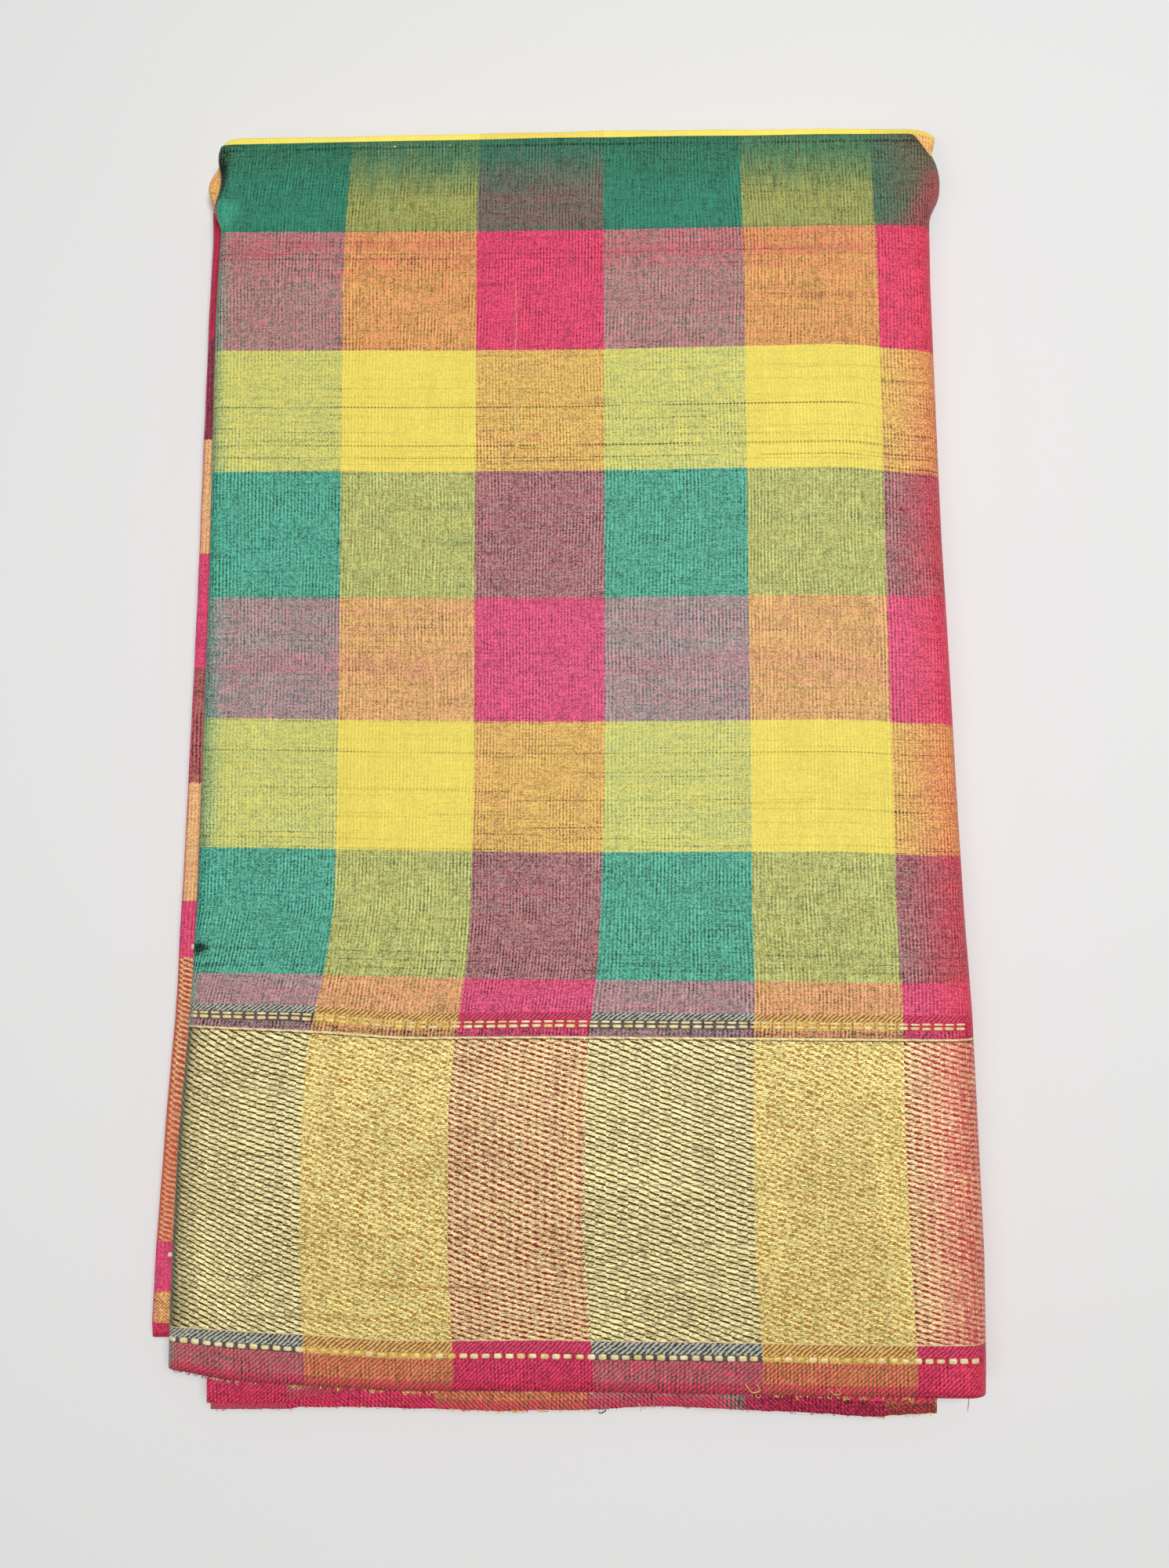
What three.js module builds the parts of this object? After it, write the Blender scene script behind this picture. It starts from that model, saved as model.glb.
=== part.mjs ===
// Folded silk saree, lying flat on a surface.
// Millimetres, +Z up. +Y is the crease that halves the width, -Y the selvedges.
// The cloth was halved once across its width and four times along its length,
// which makes sixteen double layers. The outermost layer is a wall that runs over
// the top, round the right-hand fold and back underneath. The left-hand fold of the
// lower half of the stack peeks out beside it, and the hidden layers share one core.
import * as THREE from 'three';

// Driving dimensions
const STACK_HEIGHT = 20;
const LAYERS = 16;
const WALL = 1.1;
const GAP = 0.3;
const BACK_Y = 296.5;
const FRONT_Y = -288;
const BORDER_Y = -125;
const LOWER_FOLD_FRONT_Y = -271;
const CREASE_REACH = 3.5;
const CREASE_HEIGHT = 4.8;
const CREASE_DEPTH = 16;
const SELVEDGE_DEPTH = 30;
const UPPER_SELVEDGE_REACH = 9;
const LOWER_SELVEDGE_REACH = 12;
const CORE_FRONT_REACH = 4;
const CORE_BACK_INSET = 2;
const RIDGE_DEPTH = 0.9;
const UPPER_TURN_RUN = 10;
const LOWER_TURN_RUN = 14;
const CORNER_ROUNDING = 7;
const CORE_REACH_IN = 12;

// Outline of the stack seen from above, from the crease down to the selvedges
const OUTLINE_COLUMNS = ['y', 'lowerLeft', 'left', 'right'];
const OUTLINE_ROWS = [
  [296.5, -168.4, -162.4, 167.6],
  [292.0, -169.4, -165.9, 172.6],
  [285.5, -171.4, -167.7, 177.1],
  [274.0, -174.4, -166.9, 180.6],
  [265.0, -175.4, -169.4, 179.6],
  [256.5, -172.9, -167.4, 176.6],
  [224.0, -172.9, -166.6, 175.3],
  [163.0, -175.2, -168.4, 176.9],
  [103.0, -176.3, -168.1, 178.5],
  [44.0, -177.0, -169.3, 181.1],
  [-15.0, -179.3, -170.7, 183.4],
  [-72.5, -181.8, -171.8, 186.0],
  [-117.0, -184.2, -174.2, 188.8],
  [-165.0, -186.5, -177.2, 190.4],
  [-228.0, -190.7, -179.6, 192.4],
  [-276.0, -192.4, -180.7, 192.2],
  [-300.0, -192.4, -180.9, 191.6],
];

// Heights and radii that follow from the driving dimensions
const MIDDLE_Z = STACK_HEIGHT / 2;
const RIGHT_RADIUS = STACK_HEIGHT / 2;
const UPPER_RADIUS = (STACK_HEIGHT - MIDDLE_Z - GAP / 2) / 2;
const UPPER_Z = STACK_HEIGHT - UPPER_RADIUS;
const LOWER_BOTTOM_Z = WALL + GAP;
const LOWER_RADIUS = (MIDDLE_Z - GAP / 2 - LOWER_BOTTOM_Z) / 2;
const LOWER_Z = LOWER_BOTTOM_Z + LOWER_RADIUS;
const CORE_TOP_Z = STACK_HEIGHT - WALL - GAP;
const CORE_BOTTOM_Z = WALL + GAP;
const CREASE_NOSE_Y = BACK_Y + CREASE_REACH;

// Reads one column of the outline at any y, straight between rows
function outlineAt(column, y) {
  const index = OUTLINE_COLUMNS.indexOf(column);
  const last = OUTLINE_ROWS.length - 1;
  for (let row = 0; row < last; row += 1) {
    const upper = OUTLINE_ROWS[row];
    const lower = OUTLINE_ROWS[row + 1];
    if (y <= upper[0] && y >= lower[0]) {
      const share = (upper[0] - y) / (upper[0] - lower[0]);
      return upper[index] + share * (lower[index] - upper[index]);
    }
  }
  return y > OUTLINE_ROWS[0][0] ? OUTLINE_ROWS[0][index] : OUTLINE_ROWS[last][index];
}

// The y of each cross-section between two ends, with the outline's own rows among them
function stationsBetween(front, back) {
  const inside = OUTLINE_ROWS.map((row) => row[0]).filter((y) => y > front + 2 && y < back - 2);
  return [back, ...inside, front].sort((a, b) => a - b);
}

// A closed mesh from a list of [x, y, z] points and a list of triangles
function meshFrom(points, triangles, name, color, roughness) {
  const geometry = new THREE.BufferGeometry();
  geometry.setAttribute('position', new THREE.Float32BufferAttribute(points.flat(), 3));
  geometry.setIndex(triangles.flat());
  geometry.computeVertexNormals();
  const material = new THREE.MeshStandardMaterial({ color, roughness, metalness: 0 });
  const mesh = new THREE.Mesh(geometry, material);
  mesh.name = name;
  return mesh;
}

// Two triangles for the quad a, b, c, d
function quad(a, b, c, d) {
  return [[a, b, c], [a, c, d]];
}

// Centre-line points of an arc, each with its outward direction
function arcPath(x, z, radius, fromDegrees, toDegrees, steps) {
  const path = [];
  for (let step = 0; step <= steps; step += 1) {
    const angle = THREE.MathUtils.degToRad(fromDegrees + ((toDegrees - fromDegrees) * step) / steps);
    const nx = Math.cos(angle);
    const nz = Math.sin(angle);
    path.push({ x: x + radius * nx, z: z + radius * nz, nx, nz });
  }
  return path;
}

// Points along a straight leg, both ends left out
function legPath(fromX, toX, z, nz, steps) {
  const path = [];
  for (let step = 1; step < steps; step += 1) {
    path.push({ x: fromX + ((toX - fromX) * step) / steps, z, nx: 0, nz });
  }
  return path;
}

// Cross-section of the outermost layer: under the upper half of the stack at the left,
// round its left fold, over the top, round the right-hand fold and back underneath
function outerLayerPath(y) {
  const left = outlineAt('left', y) + UPPER_RADIUS;
  const right = outlineAt('right', y) - RIGHT_RADIUS;
  const underEnd = outlineAt('lowerLeft', y) + LOWER_RADIUS;
  const upperLine = UPPER_RADIUS - WALL / 2;
  const rightLine = RIGHT_RADIUS - WALL / 2;
  return [
    { x: left + UPPER_TURN_RUN, z: UPPER_Z - upperLine, nx: 0, nz: -1 },
    ...arcPath(left, UPPER_Z, upperLine, 270, 90, 10),
    ...legPath(left, right, STACK_HEIGHT - WALL / 2, 1, 6),
    ...arcPath(right, RIGHT_RADIUS, rightLine, 90, -90, 14),
    ...legPath(right, underEnd, WALL / 2, -1, 4),
    { x: underEnd, z: WALL / 2, nx: 0, nz: -1 },
  ];
}

// Cross-section of the left-hand fold of the lower half of the stack
function lowerFoldPath(y) {
  const left = outlineAt('lowerLeft', y) + LOWER_RADIUS;
  const line = LOWER_RADIUS - WALL / 2;
  return [
    { x: left + LOWER_TURN_RUN, z: LOWER_Z - line, nx: 0, nz: -1 },
    ...arcPath(left, LOWER_Z, line, 270, 90, 10),
    { x: left + LOWER_TURN_RUN, z: LOWER_Z + line, nx: 0, nz: 1 },
  ];
}

// Closes a wall from its sections, each a list of outer points and one of inner points
function skinWall(sections) {
  const points = sections.flatMap((section) => [...section.outer, ...section.inner]);
  const count = sections[0].outer.length;
  const end = count - 1;
  const last = sections.length - 1;
  const outer = (section, i) => section * count * 2 + i;
  const inner = (section, i) => section * count * 2 + count + i;
  const triangles = [];
  for (let s = 0; s < last; s += 1) {
    for (let i = 0; i < end; i += 1) {
      triangles.push(...quad(outer(s, i), outer(s, i + 1), outer(s + 1, i + 1), outer(s + 1, i)));
      triangles.push(...quad(inner(s, i + 1), inner(s, i), inner(s + 1, i), inner(s + 1, i + 1)));
    }
    triangles.push(...quad(inner(s, 0), outer(s, 0), outer(s + 1, 0), inner(s + 1, 0)));
    triangles.push(...quad(outer(s, end), inner(s, end), inner(s + 1, end), outer(s + 1, end)));
  }
  for (let i = 0; i < end; i += 1) {
    triangles.push(...quad(inner(0, i), inner(0, i + 1), outer(0, i + 1), outer(0, i)));
    triangles.push(...quad(outer(last, i), outer(last, i + 1), inner(last, i + 1), inner(last, i)));
  }
  return { points, triangles };
}

// A wall that carries a cross-section path from the front y to the back y
function wallAlongY(name, pathAt, front, back, color) {
  const half = WALL / 2;
  const sections = stationsBetween(front, back).map((y) => ({
    outer: pathAt(y).map((p) => [p.x + p.nx * half, y, p.z + p.nz * half]),
    inner: pathAt(y).map((p) => [p.x - p.nx * half, y, p.z - p.nz * half]),
  }));
  const { points, triangles } = skinWall(sections);
  return meshFrom(points, triangles, name, color, 0.55);
}

// The crease that halves the width, seen as a rolled edge beyond the top layer.
// Its section lies in Y and Z and is carried along X, with both ends drawn in.
function backCrease() {
  const half = WALL / 2;
  const radius = CREASE_HEIGHT / 2;
  const line = radius - half;
  const z = CORE_TOP_Z - radius;
  const fromX = outlineAt('right', BACK_Y) - RIGHT_RADIUS;
  const toX = outlineAt('left', BACK_Y) + UPPER_RADIUS;
  const back = CREASE_NOSE_Y - radius - CREASE_DEPTH;
  const steps = 14;
  const sections = [];
  for (let step = 0; step <= steps; step += 1) {
    const x = fromX + ((toX - fromX) * step) / steps;
    const drawnIn = step === 0 || step === steps ? CREASE_REACH : 0;
    const nose = arcPath(CREASE_NOSE_Y - radius - drawnIn, z, line, 90, -90, 8);
    const path = [
      { x: back, z: z + line, nx: 0, nz: 1 },
      ...nose,
      { x: back, z: z - line, nx: 0, nz: -1 },
    ];
    sections.push({
      outer: path.map((p) => [x, p.x + p.nx * half, p.z + p.nz * half]),
      inner: path.map((p) => [x, p.x - p.nx * half, p.z - p.nz * half]),
    });
  }
  const { points, triangles } = skinWall(sections);
  return meshFrom(points, triangles, 'back_crease', 0xe3cd52, 0.55);
}

// Sheets of the layers below whose selvedges show in front of the top layer
const SELVEDGE_COLUMNS = ['name', 'fromX', 'toX', 'topZ', 'reach', 'color'];
const SELVEDGE_ROWS = [
  ['upper_selvedge', -162, 172, CORE_TOP_Z, UPPER_SELVEDGE_REACH, 0xb8264a],
  ['lower_selvedge', -158, 166, CORE_TOP_Z - WALL - GAP, LOWER_SELVEDGE_REACH, 0x9b3a5c],
];

// One such sheet: a flat strip whose front edge runs a little uneven
function selvedgeSheet(row) {
  const [name, fromX, toX, topZ, reach, color] = SELVEDGE_COLUMNS.map((column, i) => row[i]);
  const steps = 24;
  const points = [];
  for (let step = 0; step <= steps; step += 1) {
    const x = fromX + ((toX - fromX) * step) / steps;
    const wander = 1.2 * Math.sin(step * 0.9 + reach) - 1.2;
    const front = FRONT_Y - reach - wander;
    const back = FRONT_Y - reach + SELVEDGE_DEPTH;
    points.push([x, back, topZ], [x, front, topZ], [x, front, topZ - WALL], [x, back, topZ - WALL]);
  }
  const triangles = [];
  for (let step = 0; step < steps; step += 1) {
    for (let side = 0; side < 4; side += 1) {
      const next = (side + 1) % 4;
      const a = step * 4 + side;
      const b = step * 4 + next;
      triangles.push(...quad(a, b, b + 4, a + 4));
    }
  }
  triangles.push(...quad(3, 2, 1, 0));
  const end = steps * 4;
  triangles.push(...quad(end, end + 1, end + 2, end + 3));
  return meshFrom(points, triangles, name, color, 0.6);
}

// The outline drawn in to its innermost place near y, so that the core's straight
// stretches stay inside the walls. The sign is 1 for a left side and -1 for a right one.
function drawnInOutline(column, y, sign) {
  const near = [-2, -1, 0, 1, 2].map((step) => sign * outlineAt(column, y + (step * CORE_REACH_IN) / 2));
  return sign * Math.max(...near);
}

// Left edge of the core at one height, clear of the walls that fold round it
function coreLeft(y, z) {
  const upperCentre = drawnInOutline('left', y, 1) + UPPER_RADIUS;
  const lowerCentre = drawnInOutline('lowerLeft', y, 1) + LOWER_RADIUS;
  const upperInner = UPPER_RADIUS - WALL - GAP;
  const lowerInner = LOWER_RADIUS - WALL - GAP;
  if (z > UPPER_Z - upperInner) {
    return upperCentre - Math.sqrt(Math.max(0, upperInner ** 2 - (z - UPPER_Z) ** 2));
  }
  if (Math.abs(z - LOWER_Z) < lowerInner) {
    return lowerCentre - Math.sqrt(Math.max(0, lowerInner ** 2 - (z - LOWER_Z) ** 2));
  }
  return Math.max(lowerCentre + LOWER_TURN_RUN, upperCentre + UPPER_TURN_RUN) + GAP;
}

// Right edge of the core at one height, inside the right-hand fold
function coreRight(y, z) {
  const inner = RIGHT_RADIUS - WALL - GAP;
  const centre = drawnInOutline('right', y, -1) - RIGHT_RADIUS;
  return centre + Math.sqrt(Math.max(0, inner ** 2 - (z - MIDDLE_Z) ** 2));
}

// Heights of the core's rings: a crest on each layer and a groove between layers,
// with two close rings where a wall's leg cuts in from the left
function coreLevels() {
  const lowerInner = LOWER_RADIUS - WALL - GAP;
  const upperInner = UPPER_RADIUS - WALL - GAP;
  const step = 0.12;
  const cuts = [LOWER_Z - lowerInner, LOWER_Z + lowerInner, UPPER_Z - upperInner];
  const levels = [];
  const pitch = (CORE_TOP_Z - CORE_BOTTOM_Z) / LAYERS;
  for (let half = 0; half <= LAYERS * 2; half += 1) {
    const z = CORE_BOTTOM_Z + (half * pitch) / 2;
    const isCrest = half % 2 === 1;
    if (cuts.every((cut) => Math.abs(cut - z) > step * 2)) levels.push({ z, isCrest });
  }
  levels.push({ z: cuts[0] - step / 2, isCrest: false }, { z: cuts[0] + step, isCrest: false });
  levels.push({ z: cuts[1] - step, isCrest: false }, { z: cuts[1] + step / 2, isCrest: false });
  levels.push({ z: cuts[2] - step / 2, isCrest: false }, { z: cuts[2] + step, isCrest: false });
  return levels.sort((a, b) => a.z - b.z);
}

// One ring of the core: left side up, back, right side down, front
function coreRing(level, index) {
  const { z, isCrest } = level;
  const ridge = isCrest ? 0 : RIDGE_DEPTH;
  const unevenness = 1.4 * Math.sin(Math.floor(index / 2) * 2.3);
  const creaseFloor = CORE_TOP_Z - CREASE_HEIGHT - GAP;
  const selvedgeFloor = CORE_TOP_Z - 2 * (WALL + GAP);
  const backFull = BACK_Y - CORE_BACK_INSET - ridge + Math.min(0, unevenness);
  const frontFull = FRONT_Y - CORE_FRONT_REACH + ridge + Math.max(0, unevenness);
  const behindCrease = CREASE_NOSE_Y - CREASE_HEIGHT / 2 - CREASE_DEPTH - GAP;
  const behindSelvedge = FRONT_Y - UPPER_SELVEDGE_REACH + SELVEDGE_DEPTH + GAP;
  const back = z > creaseFloor ? behindCrease - ridge : backFull;
  const front = z > selvedgeFloor ? behindSelvedge + ridge : frontFull;
  const r = CORNER_ROUNDING;
  const bend = r * (1 - Math.SQRT1_2);
  const shared = (y) => y > behindSelvedge + r && y < behindCrease - r;
  const rows = OUTLINE_ROWS.map((row) => row[0]).filter(shared);
  const sideYs = [back - r, ...rows, front + r].sort((a, b) => a - b);
  const leftChain = [
    [coreLeft(front + r, z) + r, front],
    [coreLeft(front + r, z) + bend, front + bend],
    ...sideYs.map((y) => [coreLeft(y, z), y]),
    [coreLeft(back - r, z) + bend, back - bend],
    [coreLeft(back - r, z) + r, back],
  ];
  const rightChain = [
    [coreRight(front + r, z) - r, front],
    [coreRight(front + r, z) - bend, front + bend],
    ...sideYs.map((y) => [coreRight(y, z), y]),
    [coreRight(back - r, z) - bend, back - bend],
    [coreRight(back - r, z) - r, back],
  ];
  return [...leftChain, ...rightChain.reverse()].map(([x, y]) => [x, y, z]);
}

// The hidden layers as one rounded solid, ridged where the layers end
function hiddenLayers() {
  const rings = coreLevels().map(coreRing);
  const count = rings[0].length;
  const top = (rings.length - 1) * count;
  const triangles = [];
  for (let level = 0; level < rings.length - 1; level += 1) {
    for (let i = 0; i < count; i += 1) {
      const a = level * count + i;
      const b = level * count + ((i + 1) % count);
      triangles.push(...quad(a, a + count, b + count, b));
    }
  }
  for (let i = 0; i < count / 2 - 1; i += 1) {
    const across = count - 1 - i;
    triangles.push(...quad(i, i + 1, across - 1, across));
    triangles.push(...quad(top + across, top + across - 1, top + i + 1, top + i));
  }
  return meshFrom(rings.flat(), triangles, 'hidden_layers', 0xa8405a, 0.7);
}

const saree = new THREE.Group();
saree.add(
  wallAlongY('outer_layer_body', outerLayerPath, BORDER_Y + GAP / 2, BACK_Y, 0x4f9a72),
  wallAlongY('outer_layer_border', outerLayerPath, FRONT_Y, BORDER_Y - GAP / 2, 0xc9a54a),
  wallAlongY('lower_fold_body', lowerFoldPath, BORDER_Y + GAP / 2, BACK_Y - 4, 0xb3243f),
  wallAlongY('lower_fold_border', lowerFoldPath, LOWER_FOLD_FRONT_Y, BORDER_Y - GAP / 2, 0xc08a3e),
  backCrease(),
  ...SELVEDGE_ROWS.map(selvedgeSheet),
  hiddenLayers(),
);

// The origin is under the middle of the whole, on the surface that it lies on
const box = new THREE.Box3().setFromObject(saree);
const centre = box.getCenter(new THREE.Vector3());
saree.position.set(-centre.x, -centre.y, -box.min.z);

export default saree;
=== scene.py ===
"""Folded silk check saree, lying flat and seen from above.

The outermost layer, the fold that peeks out at the left, the crease at the back and the
selvedges in front are thin closed shells on the forms of their solids. Cloth points are
named by two lengths: along the cloth, and across it from the crease that halves its width.
The first picks the weft colour and the second the warp colour, as on the loom.
"""
import math

import bpy
import numpy as np
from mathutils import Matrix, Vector


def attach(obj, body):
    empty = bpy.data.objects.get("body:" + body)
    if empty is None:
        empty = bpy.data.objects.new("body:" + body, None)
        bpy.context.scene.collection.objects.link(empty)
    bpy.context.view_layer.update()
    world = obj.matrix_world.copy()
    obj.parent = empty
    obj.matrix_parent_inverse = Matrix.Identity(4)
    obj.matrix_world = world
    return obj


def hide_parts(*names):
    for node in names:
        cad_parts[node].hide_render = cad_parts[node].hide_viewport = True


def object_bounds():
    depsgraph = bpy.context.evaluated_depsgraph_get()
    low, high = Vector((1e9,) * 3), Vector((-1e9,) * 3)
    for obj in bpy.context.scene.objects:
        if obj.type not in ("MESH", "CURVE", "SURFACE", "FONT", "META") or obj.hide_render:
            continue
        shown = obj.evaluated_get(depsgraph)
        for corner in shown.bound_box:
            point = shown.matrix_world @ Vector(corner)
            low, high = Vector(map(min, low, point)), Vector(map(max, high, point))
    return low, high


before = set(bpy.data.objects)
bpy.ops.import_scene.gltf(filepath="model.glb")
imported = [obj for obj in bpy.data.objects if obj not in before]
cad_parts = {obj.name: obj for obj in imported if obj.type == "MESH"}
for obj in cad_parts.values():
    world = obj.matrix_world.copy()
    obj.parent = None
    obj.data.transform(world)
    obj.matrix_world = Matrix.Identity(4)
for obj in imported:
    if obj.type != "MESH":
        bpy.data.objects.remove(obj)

CAD_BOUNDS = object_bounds()
MM = 0.001

# Sizes of the stack, in millimetres
STACK_TOP = (CAD_BOUNDS[1][2] - CAD_BOUNDS[0][2]) / MM
LAYERS = 16
PITCH = STACK_TOP / LAYERS
PLY = 0.38
PLY_OFFSET = 0.29
RIGHT_RADIUS = STACK_TOP / 2
UPPER_RADIUS = (STACK_TOP / 2 - 0.15) / 2
STRIP_RADIUS = 2.35
WEFT_BAND = 61.0

# Outline of the stack from above, as y and x: left end of the lower half and of the upper
# half, and the right end
LOWER_LEFT = np.array([
    (297, -168), (287, -169.3), (281.6, -173.2), (276.8, -175), (272.9, -174.4),
    (269.6, -172.4), (265, -172.3), (249, -171.9), (214, -173.2), (145, -174.8),
    (76, -176.2), (8, -178.3), (-58, -180.4), (-86, -181.6), (-106, -182.1),
    (-124, -183), (-165, -186), (-228, -189.6), (-264, -190.9), (-300, -192.4),
])
UPPER_LEFT = np.array([
    (297, -166), (291.5, -167.8), (286.3, -167.5), (281.7, -166), (275, -166.2),
    (269.6, -167.6), (264.2, -169.5), (259.6, -168.6), (255.7, -166.3), (250.3, -165.4),
    (245, -165.9), (210, -167.4), (142, -168), (74, -168.4), (7.5, -169.8),
    (-58, -171), (-91, -172.1), (-108, -172.4), (-130, -173.8), (-165, -176.4),
    (-187, -177.9), (-223, -179.1), (-240, -179.5), (-260, -180), (-300, -180.1),
])
RIGHT_END = np.array([
    (303, 164), (299, 168.7), (296, 171.7), (292, 174), (288, 176.6),
    (283.4, 179.1), (279.5, 180.1), (275.6, 180.7), (270, 180.6), (265.5, 179.6),
    (262.3, 178), (259.2, 176), (254.6, 175.3), (224, 175.3), (163, 176.9),
    (103, 178.5), (44, 181.1), (-15, 183.4), (-72.5, 186), (-117, 188.8),
    (-165, 190.4), (-228, 192.4), (-276, 192.2), (-300, 191.6),
])

# Where the weft colour changes on the face: y, then x of the five changes
WEFT_CHANGES = np.array([
    (285.5, -103.2, -41.8, 18.2, 82.2, 145.5),
    (256.5, -105.5, -42.7, 17.4, 83.1, 146.6),
    (223.9, -106.6, -42.9, 17.7, 84, 147.6),
    (103.1, -106.3, -43, 18, 84.5, 149.2),
    (-14.7, -106.3, -42.8, 17.9, 85.4, 151.1),
    (-72.5, -107.4, -43.9, 16, 85.3, 152),
    (-98, -110.9, -45.8, 14.6, 86, 153.2),
    (-117.2, -115.1, -48.7, 12, 86, 154.2),
    (-137, -118.9, -51.4, 9.8, 85.2, 154.2),
    (-165, -120.9, -53.7, 8.4, 84.9, 154.2),
    (-227.9, -121.4, -53.7, 7.7, 85.4, 156),
    (-276.3, -118.3, -50.9, 12.3, 88.5, 158.4),
])

# Where the warp changes on the face: distance from the crease, then y at seven places in x
WARP_PLACES = (-174, -156, -118, -74, -7, 132, 164)
WARP_CHANGES = np.array([
    (0, 291.6, 292, 292.9, 293.7, 295.1, 297.1, 297.4),
    (44.7, 249.4, 249.6, 249.8, 250, 250.4, 253.1, 253.1),
    (103.2, 191.5, 191.5, 191.6, 191.7, 191.9, 195, 191.6),
    (160.9, 133.6, 133.8, 133.9, 133.6, 134.2, 136.4, 132.5),
    (222.4, 72.6, 73.1, 73, 72.9, 72.7, 74.5, 73.4),
    (279.8, 17.1, 17.1, 16.6, 15.9, 15.3, 16.7, 14.5),
    (339.8, -42.2, -42.2, -42.9, -43.6, -44.7, -44, -46.2),
    (399.1, -101, -101.1, -101.6, -102.9, -104, -105.4, -105.8),
    (420.1, -119.8, -120.2, -120.9, -125, -124.2, -125.3, -125.8),
    (425.1, -125.2, -126.2, -127.7, -130.8, -130.4, -131.5, -131.8),
    (561.1, -260.4, -261.6, -263.5, -266.4, -265.7, -268.2, -268.4),
    (568, -265.2, -267.6, -269.7, -272.5, -272.6, -274.7, -274.9),
    (583.4, -278.6, -283.4, -286, -288.6, -288.4, -291.2, -291.7),
])
ZARI_START = 425.1
ZARI_END = 561.1
SELVEDGE = 583.4
STRIP_START = 42.4
STRIP_END = 601.8

# The strip at the left shows the other half of the width: its distance from the crease, and y
STRIP_CHANGES = np.array([
    (STRIP_START, 287), (63, 266), (131.1, 203), (178.5, 152.1), (288.6, 43), (344.5, -11.5),
    (398.7, -68), (ZARI_START, -95.3), (ZARI_END, -225.3), (584.5, -245.8), (594, -260.2),
    (STRIP_END, -268.7),
])

# Colours of the yarns in linear light
GREEN_WEFT = (0.085, 0.45, 0.32)
YELLOW_WEFT = (0.86, 0.70, 0.125)
RED_WEFT = (0.72, 0.07, 0.17)
GREEN = (0.085, 0.30, 0.20)
DEEP_GREEN = (0.022, 0.17, 0.10)
RED = (0.70, 0.07, 0.165)
YELLOW = (0.88, 0.72, 0.12)
CRIMSON = (0.60, 0.03, 0.085)
WEFT = (GREEN_WEFT, YELLOW_WEFT, RED_WEFT)
# What the dye makes of the weft below the crease and in the right-hand corner, the weft on the
# right-hand fold, a purer red darkened by painted shade, and the zari and dashes on the strip at the left
DYED = (0.075, 0.17, 0.085)
GREYED = (0.27, 0.09, 0.06)
RIGHT_WEFT_SHADED = (0.58, 0.04, 0.055)
STRIP_ZARI = (0.74, 0.13, 0.07)
STRIP_DASH = (0.86, 0.74, 0.44)
# Bands of the warp on the two halves of the width: distance from the crease, colour, how much of
# the surface it takes, and how strong the grain and the single dark threads are
FACE_WARP = (
    (0, DEEP_GREEN, (0.72, 0.75, 0.2)),
    (44.7, (0.70, 0.05, 0.12), (0.49, 0.75, 0.3)),
    (103.2, YELLOW, (0.67, 0.45, 0.6)),
    (135, YELLOW, (0.65, 0.50, 1.0)),
    (160.9, GREEN, (0.44, 0.9, 0.2)),
    (222.4, (0.66, 0.10, 0.21), (0.44, 0.75, 0.25)),
    (279.8, YELLOW, (0.64, 0.45, 0.6)),
    (308, YELLOW, (0.64, 0.50, 0.9)),
    (339.8, GREEN, (0.44, 0.95, 0.25)),
    (399.1, (0.66, 0.095, 0.20), (0.50, 0.85, 0.2)),
    (569, CRIMSON, (0.71, 0.8, 0.1)),
    (577.5, CRIMSON, (0.88, 0.8, 0.1)),
)
OTHER_WARP = (
    (0, YELLOW, (0.96, 0.12, 0.0)),
    (36, YELLOW, (0.56, 0.35, 0.0)),
    # On the strip the red band from 63 is darker than on the face, and the green bands from 131.1 and
    # 288.6 are near black and dark olive: their yarns darkened by painted shade beside the raised face
    (63, (0.40, 0.022, 0.04), (0.76, 0.6, 0.2)),
    (131.1, (0.045, 0.03, 0.02), (0.64, 0.9, 0.2)),
    (178.5, (0.96, 0.68, 0.25), (0.70, 0.35, 0.0)),
    (233.5, RED, (0.60, 0.6, 0.2)),
    (288.6, (0.16, 0.16, 0.06), (0.50, 0.9, 0.2)),
    (344.5, (0.96, 0.68, 0.25), (0.70, 0.35, 0.0)),
    (398.7, RED, (0.60, 0.6, 0.2)),
    (584.5, YELLOW, (0.48, 0.5, 0.1)),
    (594, CRIMSON, (0.80, 0.8, 0.1)),
)
WARPS = (FACE_WARP, OTHER_WARP)
# Over each weft: the gold floats and the gaps between them, and the hatch beside the dashes
FLOATS = ((0.90, 0.75, 0.36), (0.92, 0.76, 0.28), (0.88, 0.64, 0.32))
GAPS = ((0.045, 0.036, 0.007), (0.42, 0.19, 0.035), (0.24, 0.014, 0.012))
HATCH_DARK = ((0.022, 0.028, 0.026), (0.26, 0.085, 0.025), (0.33, 0.010, 0.035))
HATCH_LIGHT = ((0.52, 0.58, 0.47), (0.80, 0.56, 0.16), (0.74, 0.07, 0.17))
# Over each weft: how much more the warp covers, how dark unlike threads make each other, and how
# steeply the rows of stitches run
WEFT_COVER = ((0.05, 0.03, 0.46), (0.0, 0.12, 0.46), (0.0, 0.15, 0.36))
# Over each weft: how much of the dye it holds, how much more of it shows where the dye ends, and
# how much more steeply the rows of stitches run on the strip at the left
DYE_HOLD = ((1.0, 0.0, 0.30), (0.84, 0.17, 0.30), (1.0, 0.0, 0.30))
DASH_GROUND = ((0.028, 0.033, 0.030), (0.62, 0.36, 0.10), (0.44, 0.015, 0.045))
# Over each weft: the dark stitches' half thickness, how much they taper and how rough they are
STITCHES = ((0.170, 0.05, 0.10), (0.10, 0.06, 0.70), (0.215, 0.22, 0.28))
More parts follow.
